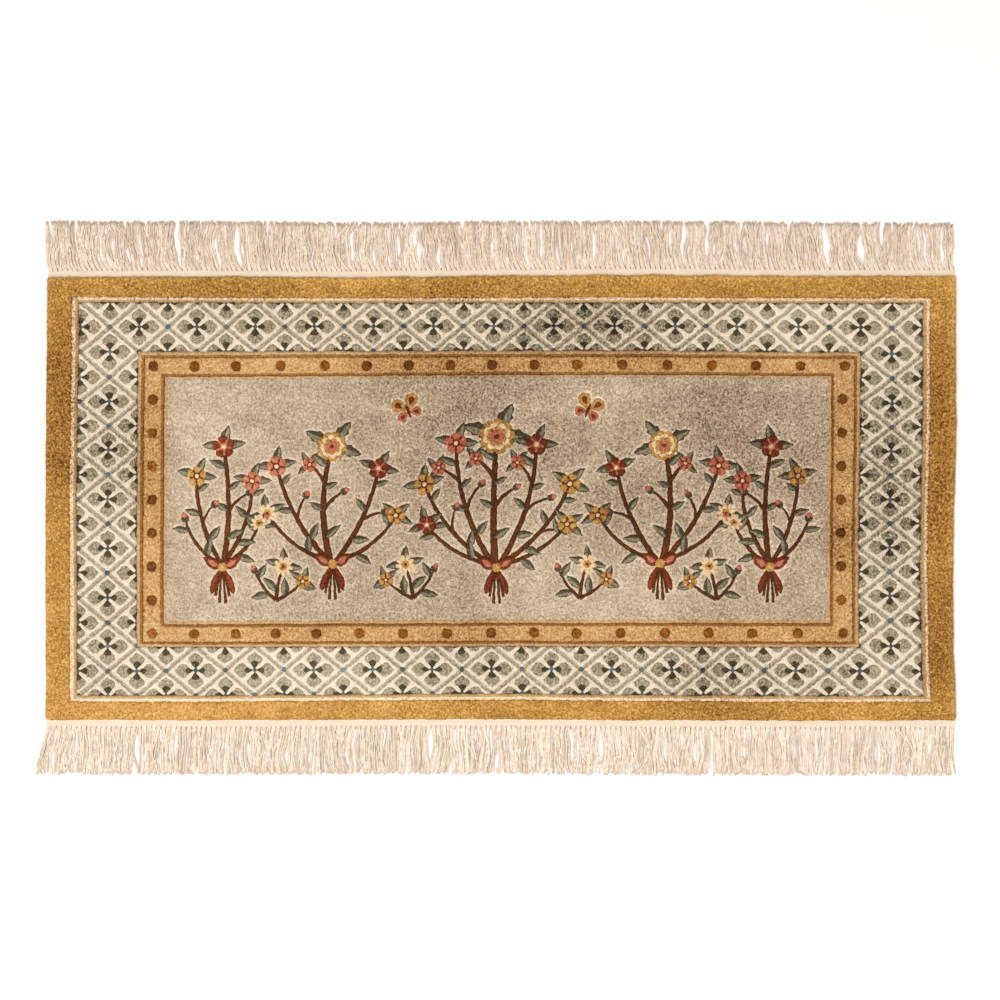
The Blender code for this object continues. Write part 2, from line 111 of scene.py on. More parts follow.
# How an outline is carved: half the groove's width, its depth, how much darker its bottom is painted as
# shade, and how much lighter the ground beside it is painted as a highlight
Cut = namedtuple("Cut", "half_width depth shade halo")
HALO_REACH = 3.6
CUTS = {
    "plain": Cut(1.0, 0.0, 0.0, 0.0),
    "field": Cut(1.3, 0.9, 0.15, 0.1),
    "guard": Cut(1.4, 1.1, 0.45, 0.0),
    "zone": Cut(1.7, 1.6, 0.6, 0.0),
    "band": Cut(1.5, 1.4, 0.6, 0.0),
    "bar": Cut(1.3, 1.0, 0.5, 0.0),
    "petal": Cut(1.3, 0.8, 0.05, 0.0),
    "heart": Cut(0.9, 0.4, 0.05, 0.0),
    "dot": Cut(1.4, 1.3, 0.25, 0.2),
    "motif": Cut(1.6, 1.4, 0.35, 0.95),
    "vein": Cut(0.9, 0.5, 0.25, 0.0),
}

# Trellis: its crossings and cells, how its knotting has drifted along the rug and risen across it, and the
# sizes of what it holds
FIRST_CROSSING = (-525.2, -231.2)
LAST_CROSSING = (523.9, 229.0)
CELLS_LONG = 13
CELLS_SHORT = 7
TRELLIS_DRIFT_FRONT = (-0.8, -5.1, -9.0, -10.4, -11.6, -9.6, -0.1)
TRELLIS_DRIFT_BACK = (0.2, -5.6, -9.4, -9.6, -9.6, -6.2, -0.2)
TRELLIS_DRIFT_RIGHT = (0.0, 2.0, 1.2, -0.6, -2.4, -4.0, 0.0)
RIGHT_DRIFT_FADE = 8  # the higher, the nearer the right end the drift above keeps
TRELLIS_RISE_FRONT = (0.0, 1.3, 1.4, 1.4, 1.4, 1.2, 0.0)
TRELLIS_RISE_BACK = (0.0, 0.3, 0.8, 0.6, 0.4, 1.2, 0.0)
BAR_HALF_WIDTH = 2.5
# How wide a bar's front edge is, carved and also painted with shade
BAR_EDGE = 1.6
BAR_STEP = 4.0
# Small round forms: circles where the squareness is 2, and squarer above
Round = namedtuple("Round", "half_width squareness steps")
CROSSING_KNOT = Round(3.4, 2.3, 12)
CENTRE_KNOT = Round(2.8, 2.4, 12)
Petal = namedtuple("Petal", "heading reach half_width heart_reach heart_half_width")
PETALS = (
    Petal(0.0, 28.6, 9.6, 13.4, 4.0),
    Petal(90.0, 24.4, 10.7, 12.8, 5.5),
    Petal(180.0, 28.8, 9.6, 13.8, 4.0),
    Petal(270.0, 24.4, 10.7, 12.6, 5.4),
)
PETAL_PROFILE = (
    (0.0, 0.0), (0.14, 0.2), (0.3, 0.55), (0.44, 0.88), (0.57, 1.0),
    (0.7, 0.9), (0.82, 0.58), (0.92, 0.24), (1.0, 0.0),
)
HEART_PROFILE = ((0.0, 0.0), (0.2, 0.25), (0.4, 0.62), (0.62, 1.0), (0.8, 0.92), (0.92, 0.58), (1.0, 0.0))
PETAL_START = 2.0
HEART_START = 1.0
HEART_STEPS = 12

# Dots of the inner border, and how far those of its front and back have drifted along it
DOTS_LONG = 17
DOTS_SHORT = 9
DOT_DRIFT_FRONT = (0.5, -3.7, -11.0, -10.0, -7.3, -8.3, -4.2, -2.4, 2.7)
DOT_DRIFT_BACK = (0.1, -4.9, -1.7, -3.9, -8.0, -9.7, -3.5, -0.7, 3.4)
DOT = Round(6.6, 2.2, 20)

# Spacing of the pile's points, and the unevenness of its lines
BORDER_PITCH = 1.75
TRELLIS_PITCH = 1.46
BAND_PITCH = 1.55
FIELD_PITCH = 1.86
LINE_STEP = 1.6
ROW_SPACING = 0.866  # between rows of points, in pitches
LINE_CLEARANCE = 0.62  # from a line to the nearest point between the lines, in pitches
MERGE_DISTANCE = 1e-5
CORNER_STEPS = 6
JITTER = 0.22
WOBBLE = 0.75
WOBBLE_LENGTH = 7.0
SWAY = 0.6
SWAY_LENGTH = 40.0

# Tufts of the cut pile, fine ones on coarse ones
TUFT_HEIGHT = 0.6
TUFT_WIDTH = 2.7
TUFT_LENGTH = 3.8
FINE_IN_WIDTH = 1.9
FINE_IN_LENGTH = 1.7
COARSE_SHARE = 0.65
FINE_SHARE = 0.45
RIM_TUFTS = 0.3  # how much of their height they keep at the pile's edge
SWIRL = 9.0
SWIRL_LENGTH = 60.0

# The woven ground under the knots
FOUNDATION_INSET = 2.0
FOUNDATION_HEIGHT = 2.4
FOUNDATION_COLUMNS = 62
FOUNDATION_ROWS = 30

# The pile's wall below its belly: how far in and how high each row of it lies, and its tufts
SIDE_ROWS = ((0.0, BELLY_HEIGHT), (0.25, 4.2), (0.8, 3.4), (FOUNDATION_INSET, FOUNDATION_HEIGHT))
SIDE_STRAY = 0.25
SIDE_STRAY_LENGTH = 1.7
SIDE_NOISE_STEP = 1.3
SIDE_TUFT_WIDTH = 1.5
SIDE_TUFT_SLANT = 0.2
# The wall's rows are painted darker downwards, as shade under the belly
SIDE_SHADE = 0.25  # how much darker each row is than the one above

# The rug's rim strays in and out, in long waves with ripples on them, and its shoulder is painted lighter on
# the left, right and back, as a highlight, and darker on the front, as shade
RIM_STRAY = 0.9
RIM_STRAY_REACH = 10.0
RIM_WAVE = 38.0
RIM_RIPPLE = 5.0
RIM_RIPPLE_SHARE = 0.7
RIM_PAINTED_LIGHT = Frame(0.12, 0.2, -0.05, 0.2)
RIM_PAINTED_LIGHT_REACH = 9.0

# Nap light: where the silk is painted lighter or darker, as painted sheen and shade of its leaning tufts,
# each patch fading out over its reach
NapLightPatch = namedtuple("NapLightPatch", "x y reach_x reach_y change")
BORDER_NAP_LIGHT = [NapLightPatch(*row) for row in (
    (-400, -285, 440, 70, 0.3), (60, -285, 240, 70, 0.14), (300, -285, 90, 60, -0.12),
    (470, -285, 120, 60, 0.1), (-590, 130, 70, 210, -0.3), (-590, -150, 70, 160, 0.08),
    (592, 50, 70, 260, -0.3), (592, -170, 70, 160, -0.24), (-420, 285, 300, 70, -0.12),
    (-60, 285, 150, 70, -0.2), (330, 285, 210, 70, 0.06), (-590, 40, 50, 300, -0.07),
)]
INNER_NAP_LIGHT = [NapLightPatch(*row) for row in (
    (-440, 10, 280, 340, 0.2), (-470, 50, 60, 150, -0.32), (-30, 90, 180, 200, -0.24),
    (70, 60, 90, 90, -0.12), (120, 235, 190, 90, -0.3), (340, 60, 270, 180, -0.28),
    (120, -125, 200, 90, 0.12), (-270, -240, 320, 80, 0.2), (300, -240, 120, 70, -0.14),
    (540, -240, 110, 80, 0.16), (-530, 60, 80, 130, -0.2), (525, 10, 70, 190, -0.28),
    (400, 240, 130, 70, 0.24), (-270, 178, 150, 40, 0.16), (-70, 178, 90, 40, -0.16),
    (200, 178, 80, 40, -0.14), (380, 178, 120, 40, 0.18), (458, -60, 40, 70, -0.26),
    (458, 60, 40, 70, 0.12), (-525, 60, 60, 160, -0.11), (0, -182, 160, 40, -0.13),
    (-340, -20, 80, 120, -0.1), (150, 0, 120, 80, -0.14), (400, -40, 60, 120, -0.14),
)]

LIGHT_LEVEL = 1.2  # how bright the studio's light makes a flat white surface

# Silks: the deepest, the usual and the brightest colour that each shows, and how much its grain and the
# clouds of its nap change it
Silk = namedtuple("Silk", "deep usual bright grain cloud")
SILKS = {
    "gold_pile": Silk((122, 72, 6), (183, 131, 56), (232, 178, 98), 1.95, 0.5),
    "cream_guard": Silk((170, 124, 74), (242, 208, 166), (262, 240, 208), 2.1, 0.3),
    "gold_guard": Silk((132, 88, 38), (198, 158, 106), (226, 192, 144), 1.2, 0.4),
    "trellis_ground": Silk((176, 156, 126), (237, 219, 192), (252, 240, 218), 1.2, 0.3),
    "trellis_bars": Silk((124, 108, 80), (180, 164, 135), (216, 201, 174), 1.6, 0.3),
    "trellis_petals": Silk((84, 74, 50), (154, 140, 113), (200, 186, 156), 2.0, 0.4),
    "trellis_hearts": Silk((28, 20, 6), (66, 56, 34), (106, 94, 66), 1.4, 0.3),
    "trellis_knots": Silk((42, 44, 74), (78, 93, 98), (120, 140, 144), 0.8, 1.4),
    "band_edges": Silk((140, 98, 52), (200, 157, 108), (232, 197, 150), 1.3, 0.4),
    "band_lines": Silk((92, 50, 8), (152, 101, 46), (192, 140, 80), 1.4, 0.4),
    "band_ground": Silk((140, 90, 34), (200, 151, 93), (238, 194, 136), 1.8, 0.5),
    "band_dots": Silk((66, 26, 0), (124, 68, 2), (174, 110, 32), 1.4, 1.2),
    "field_ground": Silk((124, 102, 75), (189, 164, 136), (229, 208, 180), 1.75, 0.55),
    "leaf_dark": Silk((34, 26, 10), (80, 68, 44), (120, 108, 80), 1.4, 0.4),
    "leaf_light": Silk((90, 78, 54), (138, 127, 100), (182, 170, 142), 1.6, 0.4),
    "stems": Silk((48, 14, 0), (91, 43, 2), (138, 80, 26), 1.3, 0.4),
    "bloom_deep": Silk((66, 12, 0), (116, 44, 8), (164, 80, 40), 1.4, 0.4),
    "bloom_rose": Silk((140, 62, 38), (192, 108, 80), (232, 158, 126), 1.4, 0.4),
    "bloom_gold": Silk((130, 80, 20), (190, 140, 68), (230, 190, 116), 1.5, 0.4),
    "bloom_light": Silk((184, 140, 92), (238, 206, 160), (252, 234, 204), 1.2, 0.3),
}
# How far a silk's colour can go, in shares of the way from its usual to its deep or bright one
ROOM = 1.5

# Noise in the materials: how many grains to a metre, their stretch, detail and place
Speckle = namedtuple("Speckle", "scale stretch detail seed")
SILK_GRAIN = Speckle(340.0, (1.25, 1.05, 1.0), 3.0, 1.0)
SILK_FIBRE = Speckle(820.0, (1.3, 0.9, 1.0), 2.0, 8.0)
SILK_CLOUD = Speckle(9.0, (1.0, 1.3, 1.0), 3.0, 2.0)
SILK_MOTTLE = Speckle(42.0, (1.0, 1.0, 1.0), 3.0, 9.0)
YARN_MOTTLE = Speckle(70.0, (1.0, 0.7, 1.0), 3.0, 3.0)
YARN_KINK = Speckle(260.0, (1.1, 0.8, 1.0), 2.0, 7.0)
YARN_TWIST = Speckle(900.0, (1.0, 0.8, 1.0), 2.0, 4.0)
STRIP_MOTTLE = Speckle(40.0, (1.0, 1.0, 1.0), 3.0, 5.0)
STRIP_THREAD = Speckle(700.0, (1.0, 1.6, 1.0), 2.0, 6.0)
STRIP_RIBS = 118.0
SWIRL_SCALE = 15.0
SWIRL_SIZE = 0.03

# How much the tufts and fibres streak a silk, the tufts' streaks being painted shade between them and painted
# light on their tops; how much the nap's painted light calms the streaks where it is lighter; and how dark
# the painted shade of a groove is
TUFT_STREAK = 0.28
FIBRE_STREAK = 0.5
NAP_LIGHT_CALM = -0.9
GROOVE_SHADE = -0.55

# Cottons: the deepest, the middle and the palest colour that each shows
YARN_COLOURS = ((240, 214, 187), (259, 240, 218), (272, 262, 249))
STRIP_COLOURS = ((176, 146, 114), (244, 223, 197), (254, 242, 224))

# Field: sprays of blossom, each a fan of branches, the large ones tied together at the foot
Branch = namedtuple("Branch", "x y heading length curl width leaves twigs bloom size")
Spray = namedtuple("Spray", "x y branches mirrored tied")
LEAF_PROFILE = (
    (0.0, 0.06), (0.1, 0.4), (0.25, 0.82), (0.42, 1.0), (0.6, 0.9), (0.78, 0.58), (0.92, 0.22), (1.0, 0.0),
)
TOOTHED_PROFILE = (
    (0.0, 0.06), (0.16, 0.66), (0.22, 0.5), (0.4, 1.12), (0.47, 0.78),
    (0.64, 1.0), (0.7, 0.62), (0.86, 0.5), (1.0, 0.0),
)
WING_PROFILE = ((0.0, 0.1), (0.25, 0.5), (0.5, 0.88), (0.7, 1.0), (0.86, 0.86), (0.96, 0.45), (1.0, 0.1))
LEAF_LENGTH = 26.0
LEAF_WIDTH_SHARE = 0.215
LEAF_ANGLE = 48.0
LEAF_BEND = 0.16
LEAF_SHRINK = 0.11  # how much shorter the second and third leaf of each three are
FIRST_LEAF = 0.3
LEAF_SPAN = 0.55
LEAF_LIGHT_ALONG = (0.1, 0.92)  # where a leaf's light half starts and ends, in shares of the leaf
LEAF_LIGHT_ACROSS = (-0.1, 0.78)
FIELD_MARGIN = 4.0
CENTRE_BRANCHES = (
    Branch(-1, -12, 94, 186, -8, 11, 4, 2, "peony", 25),
    Branch(-3, 0, 124, 176, -34, 8.4, 4, 2, "rose", 15.5),
    Branch(3, 0, 58, 172, 32, 8.4, 4, 2, "deep", 15.5),
    Branch(-4, 2, 150, 146, -40, 7.4, 3, 1, "gold", 15),
    Branch(4, 2, 30, 146, 40, 7.4, 3, 1, "gold", 15),
    Branch(-4, 2, 170, 108, -44, 6.6, 2, 0, "deep", 13.5),
    Branch(4, 2, 10, 108, 44, 6.6, 2, 0, "gold", 13.5),
)
SIDE_BRANCHES = (
    Branch(0, -10, 106, 168, -32, 10, 4, 2, "peony", 21),
    Branch(-3, 0, 134, 150, -30, 7.8, 3, 1, "rose", 14.5),
    Branch(3, 0, 52, 140, 28, 7.8, 3, 1, "deep", 14.5),
    Branch(-4, 2, 164, 108, -44, 6.6, 2, 0, "daisy", 14),
    Branch(4, 2, 14, 104, 48, 6.6, 2, 0, "gold", 13),
)
END_BRANCHES = (
    Branch(0, -8, 80, 168, 20, 8.6, 4, 1, "deep", 15.5),
    Branch(-2, 4, 122, 122, -34, 6.8, 3, 1, "gold", 14),
    Branch(2, 4, 52, 118, 40, 6.8, 3, 1, "rose", 13.5),
    Branch(-3, 2, 150, 74, -44, 6, 2, 0, "bud", 6.5),
    Branch(3, 2, 28, 74, 46, 6, 2, 0, "daisy", 11.5),
)
SPRIG_BRANCHES = (
    Branch(0, 0, 96, 46, 14, 5.6, 2, 0, "daisy", 13.5),
    Branch(0, 0, 40, 44, 26, 5, 2, 0, "bud", 6),
    Branch(0, 0, 158, 44, -26, 5, 2, 0, "gold", 10.5),
)
SPRAYS = (
    Spray(-4, -92, CENTRE_BRANCHES, False, True),
    Spray(-224, -86, SIDE_BRANCHES, False, True),
    Spray(216, -86, SIDE_BRANCHES, True, True),
    Spray(-372, -90, END_BRANCHES, False, True),
    Spray(364, -90, END_BRANCHES, True, True),
    Spray(-116, -134, SPRIG_BRANCHES, False, False),
    Spray(108, -134, SPRIG_BRANCHES, True, False),
    Spray(-300, -136, SPRIG_BRANCHES, True, False),
    Spray(292, -136, SPRIG_BRANCHES, False, False),
)
Twig = namedtuple("Twig", "place side kind size")
TWIGS = (Twig(0.48, -1.0, "bud", 6.0), Twig(0.72, 1.0, "rose", 10.5))
TWIG_ANGLE = 30.0
TWIG_LENGTH_SHARE = 0.2
TWIG_WIDTH_SHARE = 0.6
CURVE_STEPS = 24
STEM_TIP_SHARE = 0.3
STEM_TIP_LEAST = 1.2

# The cut ends of the stems below a bow: heading, length and curl
STEM_ENDS = ((250.0, 38.0, 12.0), (262.0, 46.0, 6.0), (278.0, 46.0, -6.0), (290.0, 38.0, -12.0))
STEM_ENDS_START = (0.0, -4.0)
STEM_END_WIDTH = 4.2

# What a bow has on each side: a form along its heading, spread from it to the side, and bent
BowPart = namedtuple("BowPart", "profile reach half_width start bend heading spread region cut")
BOW = (
    BowPart(LEAF_PROFILE, 29.0, 7.6, 0.0, 5.0, 90.0, -72.0, "bloom_deep", "motif"),
    BowPart(LEAF_PROFILE, 22.0, 3.8, 6.0, 4.0, 90.0, -72.0, "bloom_rose", "vein"),
    BowPart(WING_PROFILE, 38.0, 4.6, 0.0, -9.0, 270.0, 36.0, "bloom_deep", "motif"),
)
BOW_PLACE = (0.0, -2.0)
BOW_KNOT = Round(6.2, 2.6, 14)

# Butterflies: place and heading, and the wings of each side
BUTTERFLIES = ((-124.0, 116.0, 24.0), (116.0, 116.0, -24.0))
Wing = namedtuple("Wing", "spread reach half_width region")
WINGS = (Wing(38.0, 25.0, 8.6, "bloom_gold"), Wing(112.0, 17.0, 6.6, "bloom_rose"))
WING_STREAK = (0.82, 0.42, 0.35)  # its reach, half width and start, in shares of the wing's reach and width
BODY_LENGTH = 22.0
BODY_HALF_WIDTH = 2.0
BODY_REAR = 10.0

# Flowers: rings of petals from the outside in, streaks between the outermost petals, and a middle. Sizes
# are shares of the flower's radius, and a ring's turn is in degrees.
Ring = namedtuple("Ring", "share petals turn valley notch region")
Flower = namedtuple("Flower", "rings streaks middle_share middle")
FLOWERS = {
    "daisy": Flower(
        (Ring(1.0, 9, 0.0, 0.42, 0.0, "bloom_light"), Ring(0.42, 6, 0.0, 0.15, 0.0, "bloom_gold")),
        0, 0.17, "bloom_deep",
    ),
    "peony": Flower(
        (
            Ring(1.0, 9, 0.0, 0.2, 0.05, "bloom_gold"),
            Ring(0.76, 8, 20.0, 0.2, 0.0, "bloom_light"),
            Ring(0.56, 7, 0.0, 0.22, 0.0, "bloom_gold"),
            Ring(0.38, 6, 30.0, 0.24, 0.0, "bloom_rose"),
        ),
        0, 0.14, "bloom_deep",
    ),
}
for kind, outer, inner in (
    ("rose", "bloom_rose", "bloom_deep"),
    ("deep", "bloom_deep", "bloom_rose"),
    ("gold", "bloom_gold", "bloom_deep"),
):
    rings = (Ring(1.0, 5, 0.0, 0.3, 0.06, outer), Ring(0.36, 5, 36.0, 0.2, 0.0, inner))
    FLOWERS[kind] = Flower(rings, 5, 0.19, "bloom_light")
CIRCLE = (2.0, 10)  # squareness and steps of a flower's middle
STREAK = (0.74, 0.1, 0.2)  # its reach, half width and start, in radii of the flower
LOBE_POINTS = 10
LOBE_ROUNDNESS = 0.7
NOTCH_SHARPNESS = 8.0
BUD = (2.3, 0.85)  # its length and half width in shares of its size, and its cup's
BUD_CUP = (1.5, 0.4)
BUD_CUP_ANGLE = 32.0

# Leaves behind a flower: how far each spreads from the way it heads, their length in its radii and at least,
# and how much they bend
FLOWER_LEAVES = (-82.0, -14.0, 68.0)
FLOWER_LEAF_RADII = 1.95
FLOWER_LEAF_LEAST = 18.0
FLOWER_LEAF_BEND = 0.14

# End strips: the profile is the height of each row of points, at shares of the strip's width
STRIP_START = HALF_WIDTH - FOUNDATION_INSET + 0.3
STRIP_WIDTH = 10.4
STRIP_INSET = 1.0
STRIP_PROFILE = (
    (0.0, 0.0), (0.0, 4.4), (0.16, 3.6), (0.3, 2.5), (0.5, 2.05), (0.75, 1.95),
    (0.93, 1.7), (1.0, 1.1), (1.02, 0.4), (1.2, 0.3), (1.2, 0.0),
)
# Painted light and shade of each row: lighter by the pile, where the pile shades the strip, and painted shade
# at the low edge under and between the yarns' roots
STRIP_SHADE = (-0.12, -0.12, -0.12, 0.0, 0.05, 0.0, 0.0, 0.1, 0.36, 0.12, 0.12)
STRIP_COLUMNS = (-0.33, -0.1, 0.1, 0.33)  # where it has its columns round each gap between groups, in groups
STRIP_WAVER = 0.5
STRIP_WAVER_LENGTH = 19.0
WAVER_NOISE_ROW = 3.3
STRIP_RIPPLE = 0.35
# The strip's low edge is a sheet that shows painted shade between the yarns' roots
SLIT_REACH = 3.6  # how far the strip's edge runs out in the gaps between the yarns' roots
SLIT_START = 1.1
SLIT_CHANGE = 0.5
SLIT_CHANGE_LENGTH = 23.0
SLIT_NOISE_ROW = 7.7

# Fringes
YARN_GROUPS = 182
STRANDS_IN_GROUP = 4
YARNS_IN_STRAND = 3
YARN_SIDES = 3
YARN_SPANS = 10
YARN_RADIUS = 0.7
YARN_TIP = 0.6  # how much of its thickness a yarn keeps at its tip
FLOOR_CLEARANCE = 0.02
YARN_PITCH = 0.98
GROUP_ROOT_SHARE = 0.6  # how much of a group's room its roots take up, and how much more its tips do
GROUP_TIP_SPREAD = 0.6
FRINGE_MARGIN = 0.6  # from the pile's end to the first yarns
GROUP_PITCH = 2.0 * (HALF_LENGTH - FRINGE_MARGIN) / YARN_GROUPS
ROOT_OVERLAP = 0.8  # how much of the yarns lies under the strip's edge
SPLAY_REACH = 80.0  # how far from the left corner the fringe splays
Fringe = namedtuple("Fringe", "name side lengths ragged left_splay hooks unrest paleness seed")
# Each fringe's paleness sets its yarns' tone, the back fringe's lower one as painted shade
FRINGES = (
    Fringe("front", -1.0, (64.4, 64.8), 2.0, 12.0, (-2.0, -1.0), 1.1, 0.48, 31),
    Fringe("back", 1.0, (66.4, 62.4), 1.5, 0.0, (-10.0, -7.5), 1.6, 0.14, 47),
)

# Ranges of the draws that lay the yarns: how far they lean at the tip, bend between root and tip, wave and
# turn, first the clumps, then the groups in them, then the strands and last the yarns
CLUMP_SIZES = (2, 3, 3, 4, 4, 5, 6)
CLUMP_LEAN = (-2.5, 2.5)
CLUMP_BEND = (-2.2, 2.2)
CLUMP_TURNS = (1.0, 1.6)
CLUMP_WAVE = (0.3, 1.0)
CLUMP_CLOSING = (0.0, 0.2)
SWELL_CHANCE = 0.4  # that a clump closes up in its middle and not at its tips
HOOK_SHARE = 0.7
HOOK_ONSET = 6.0
GROUP_BEND = (-1.6, 1.6)
GROUP_LEAN = (-1.8, 1.8)
STRAND_LAYERS = (0, 0, 1, 1, 2)
STRAND_LEAN = (-2.4, 2.4)
STRAND_BEND = (-1.6, 1.6)
STRAND_TURNS = (0.8, 2.0)
STRAND_WAVE = (0.1, 0.8)
KINK_TURNS = (2.0, 3.4)
KINK_WAVE = (0.15, 0.6)
LOOSE_CHANCE = 0.06
LOOSE_ARC = (-12.0, 12.0)
ROOT_SPREAD = 0.8
YARN_SPREAD = (-0.2, 0.4)
YARN_BEND = (-0.5, 0.5)
YARN_REACH = (-1.6, 0.6)
YARN_THICKNESS = (0.85, 1.1)
YARN_CLEARANCE = 0.05
LIFT_WAVE = 0.15
LAYER_HEIGHT = 0.75
ROOT_HEIGHT = 1.15
ROOT_LAYER_HEIGHT = 0.25
ROOT_FALL = 14.0  # how fast the yarns come down from their roots
STRAND_TINT = 0.75
YARN_TINT = 0.25

# Studio
Light = namedtuple("Light", "name place size power colour")
LIGHTS = (
    Light("key", (-1.8, -2.4, 4.8), 1.4, 195.0, (1.0, 0.99, 0.975)),
    Light("fill", (2.4, 1.6, 4.6), 2.4, 46.0, (1.0, 1.0, 1.0)),
)
SKY_STRENGTH = 0.64
FLOOR_SIZE = 12.0
FLOOR_COLOUR = (0.95, 0.87, 0.842, 1.0)
CAMERA_HEIGHT = 3.2
CAMERA_Y = -0.0032
FRAME_WIDTH = 1.3414  # what the camera sees at the pile's height, from side to side
SENSOR_WIDTH = 36.0

Shape = namedtuple("Shape", "outline region cut")  # a shape without a region is only a carved line


def between(steps, share):
    """The values at these shares of the way along evenly spaced steps, on straight lines between them."""
    return np.interp(np.clip(share, 0.0, 1.0), np.linspace(0.0, 1.0, len(steps)), steps)


def laid(x, y):
    """Where points of the straight plan lie on the floor, nearly as the solids have it."""
    along = np.clip((x / HALF_LENGTH + 1.0) / 2.0, 0.0, 1.0)
    across = np.clip((y / HALF_WIDTH + 1.0) / 2.0, 0.0, 1.0)
    move_x = along * between(DRIFT_RIGHT, across) - (1.0 - along) * between(DRIFT_LEFT, across)
    move_y = across * between(DRIFT_BACK, along) - (1.0 - across) * between(DRIFT_FRONT, along)
    return x + move_x, y + move_y


def hashed(column, row, seed):
    """A number from 0 to 1 for each corner of a grid, always the same for the same corner and seed."""
    column, row = column.astype(np.int64), row.astype(np.int64)
    mixed = (column * 374761393 + row * 668265263 + seed * 974634777) & 0xFFFFFFFF
    mixed = ((mixed ^ (mixed >> 13)) * 1274126177) & 0xFFFFFFFF
    mixed = ((mixed ^ (mixed >> 16)) * 2246822519) & 0xFFFFFFFF
    return (mixed ^ (mixed >> 15)) / 4294967295.0


def noise(x, y, seed):
    """Smooth noise of about -1 to 1, with waves about two units long."""
    column, row = np.floor(x), np.floor(y)
    part_x, part_y = x - column, y - row
    ease_x, ease_y = (part * part * part * (part * (part * 6.0 - 15.0) + 10.0) for part in (part_x, part_y))
    corners = []
    for step_y in (0, 1):
        for step_x in (0, 1):
            turn = 2.0 * math.pi * hashed(column + step_x, row + step_y, seed)
            corners.append(np.cos(turn) * (part_x - step_x) + np.sin(turn) * (part_y - step_y))
    low = corners[0] + (corners[1] - corners[0]) * ease_x
    high = corners[2] + (corners[3] - corners[2]) * ease_x
    return (low + (high - low) * ease_y) * 1.5


def waves(x, y, length, seed):
    """Noise with waves about twice this length."""
    return noise(x / length, y / length, seed)


def strayed(side, places, away, share):
    """How far points this far from the middle move with the border lines of their side."""
    move = 0.0
    for number, line in enumerate(side):
        peak = np.zeros(len(places))
        peak[number + 1] = 1.0
        move = move + np.interp(-away, [-place for place in places], peak) * between(line, share)
    return move


def wobbled(points):
    """Plan points moved as little as hand-tied knots stray, the same way wherever the same point is drawn."""
    x, y = points[:, 0], points[:, 1]
    along, across = (x / HALF_LENGTH + 1.0) / 2.0, (y / HALF_WIDTH + 1.0) / 2.0
    move_x = WOBBLE * waves(x, y, WOBBLE_LENGTH, 1)
    move_y = WOBBLE * waves(x, y, WOBBLE_LENGTH, 2)
    move_x += SWAY * waves(x, y, SWAY_LENGTH, 3)
    move_y += SWAY * waves(x, y, SWAY_LENGTH, 4)
    right, left = (STRAY_RIGHT, STRAY_PLACES_ALONG, x, across), (STRAY_LEFT, STRAY_PLACES_ALONG, -x, across)
    back, front = (STRAY_BACK, STRAY_PLACES_ACROSS, y, along), (STRAY_FRONT, STRAY_PLACES_ACROSS, -y, along)
    move_x += strayed(*right) + strayed(*left)
    move_y += strayed(*back) + strayed(*front)
    return np.stack([x + move_x, y + move_y], axis=1)


def rim_noise(x, y, seed):
    """Long waves with ripples on them."""
    ripple = waves(x, y, RIM_RIPPLE, seed)
    return RIM_RIPPLE_SHARE * ripple + waves(x, y, RIM_WAVE, seed + 1)


def placed(x, y):
    """Where the pile's points lie on the floor, those near the rim a little astray."""
    stray = RIM_STRAY * np.clip(1.0 - inset_of(x, y) / RIM_STRAY_REACH, 0.0, 1.0)
    laid_x, laid_y = laid(x, y)
    return laid_x + stray * rim_noise(x, y, 11), laid_y + stray * rim_noise(x, y, 13)


def painted_light_at(patches, x, y):
    """How much lighter or darker each point is painted, as the nap's sheen and shade and the shoulders' light
    and shade.
    """
    change = np.zeros_like(x)
    for patch in patches:
        away = np.minimum(np.hypot((x - patch.x) / patch.reach_x, (y - patch.y) / patch.reach_y), 1.0)
        change += patch.change * (1.0 - away) ** 2 * (1.0 + 2.0 * away)
    # painted highlight on the left, right and back shoulders, painted shade on the front one
    sides = ((RIM_PAINTED_LIGHT.left, HALF_LENGTH + x), (RIM_PAINTED_LIGHT.right, HALF_LENGTH - x))
    sides += ((RIM_PAINTED_LIGHT.front, HALF_WIDTH + y), (RIM_PAINTED_LIGHT.back, HALF_WIDTH - y))
    for shoulder_light, inset in sides:
        change += shoulder_light * np.exp(-((inset / RIM_PAINTED_LIGHT_REACH) ** 2))
    return change


def tufts(x, y):
    """How far the cut ends stand above or below the pile's mean height, from about -1 to 1."""
    turned_x = x + SWIRL * waves(x, y, SWIRL_LENGTH, 5)
    turned_y = y + SWIRL * waves(x, y, SWIRL_LENGTH, 6)
    coarse = noise(turned_x / TUFT_WIDTH, turned_y / TUFT_LENGTH, 7)
    fine = noise(turned_x / TUFT_WIDTH * FINE_IN_WIDTH, turned_y / TUFT_LENGTH * FINE_IN_LENGTH, 8)
    return COARSE_SHARE * coarse + FINE_SHARE * fine


def inset_of(x, y):
    """How far points lie inside the pile's outline, round corners included."""
    from_x = np.abs(x) - (HALF_LENGTH - CORNER_RADIUS)
    from_y = np.abs(y) - (HALF_WIDTH - CORNER_RADIUS)
    in_corner = (from_x > 0.0) & (from_y > 0.0)
    return CORNER_RADIUS - np.where(in_corner, np.hypot(from_x, from_y), np.maximum(from_x, from_y))


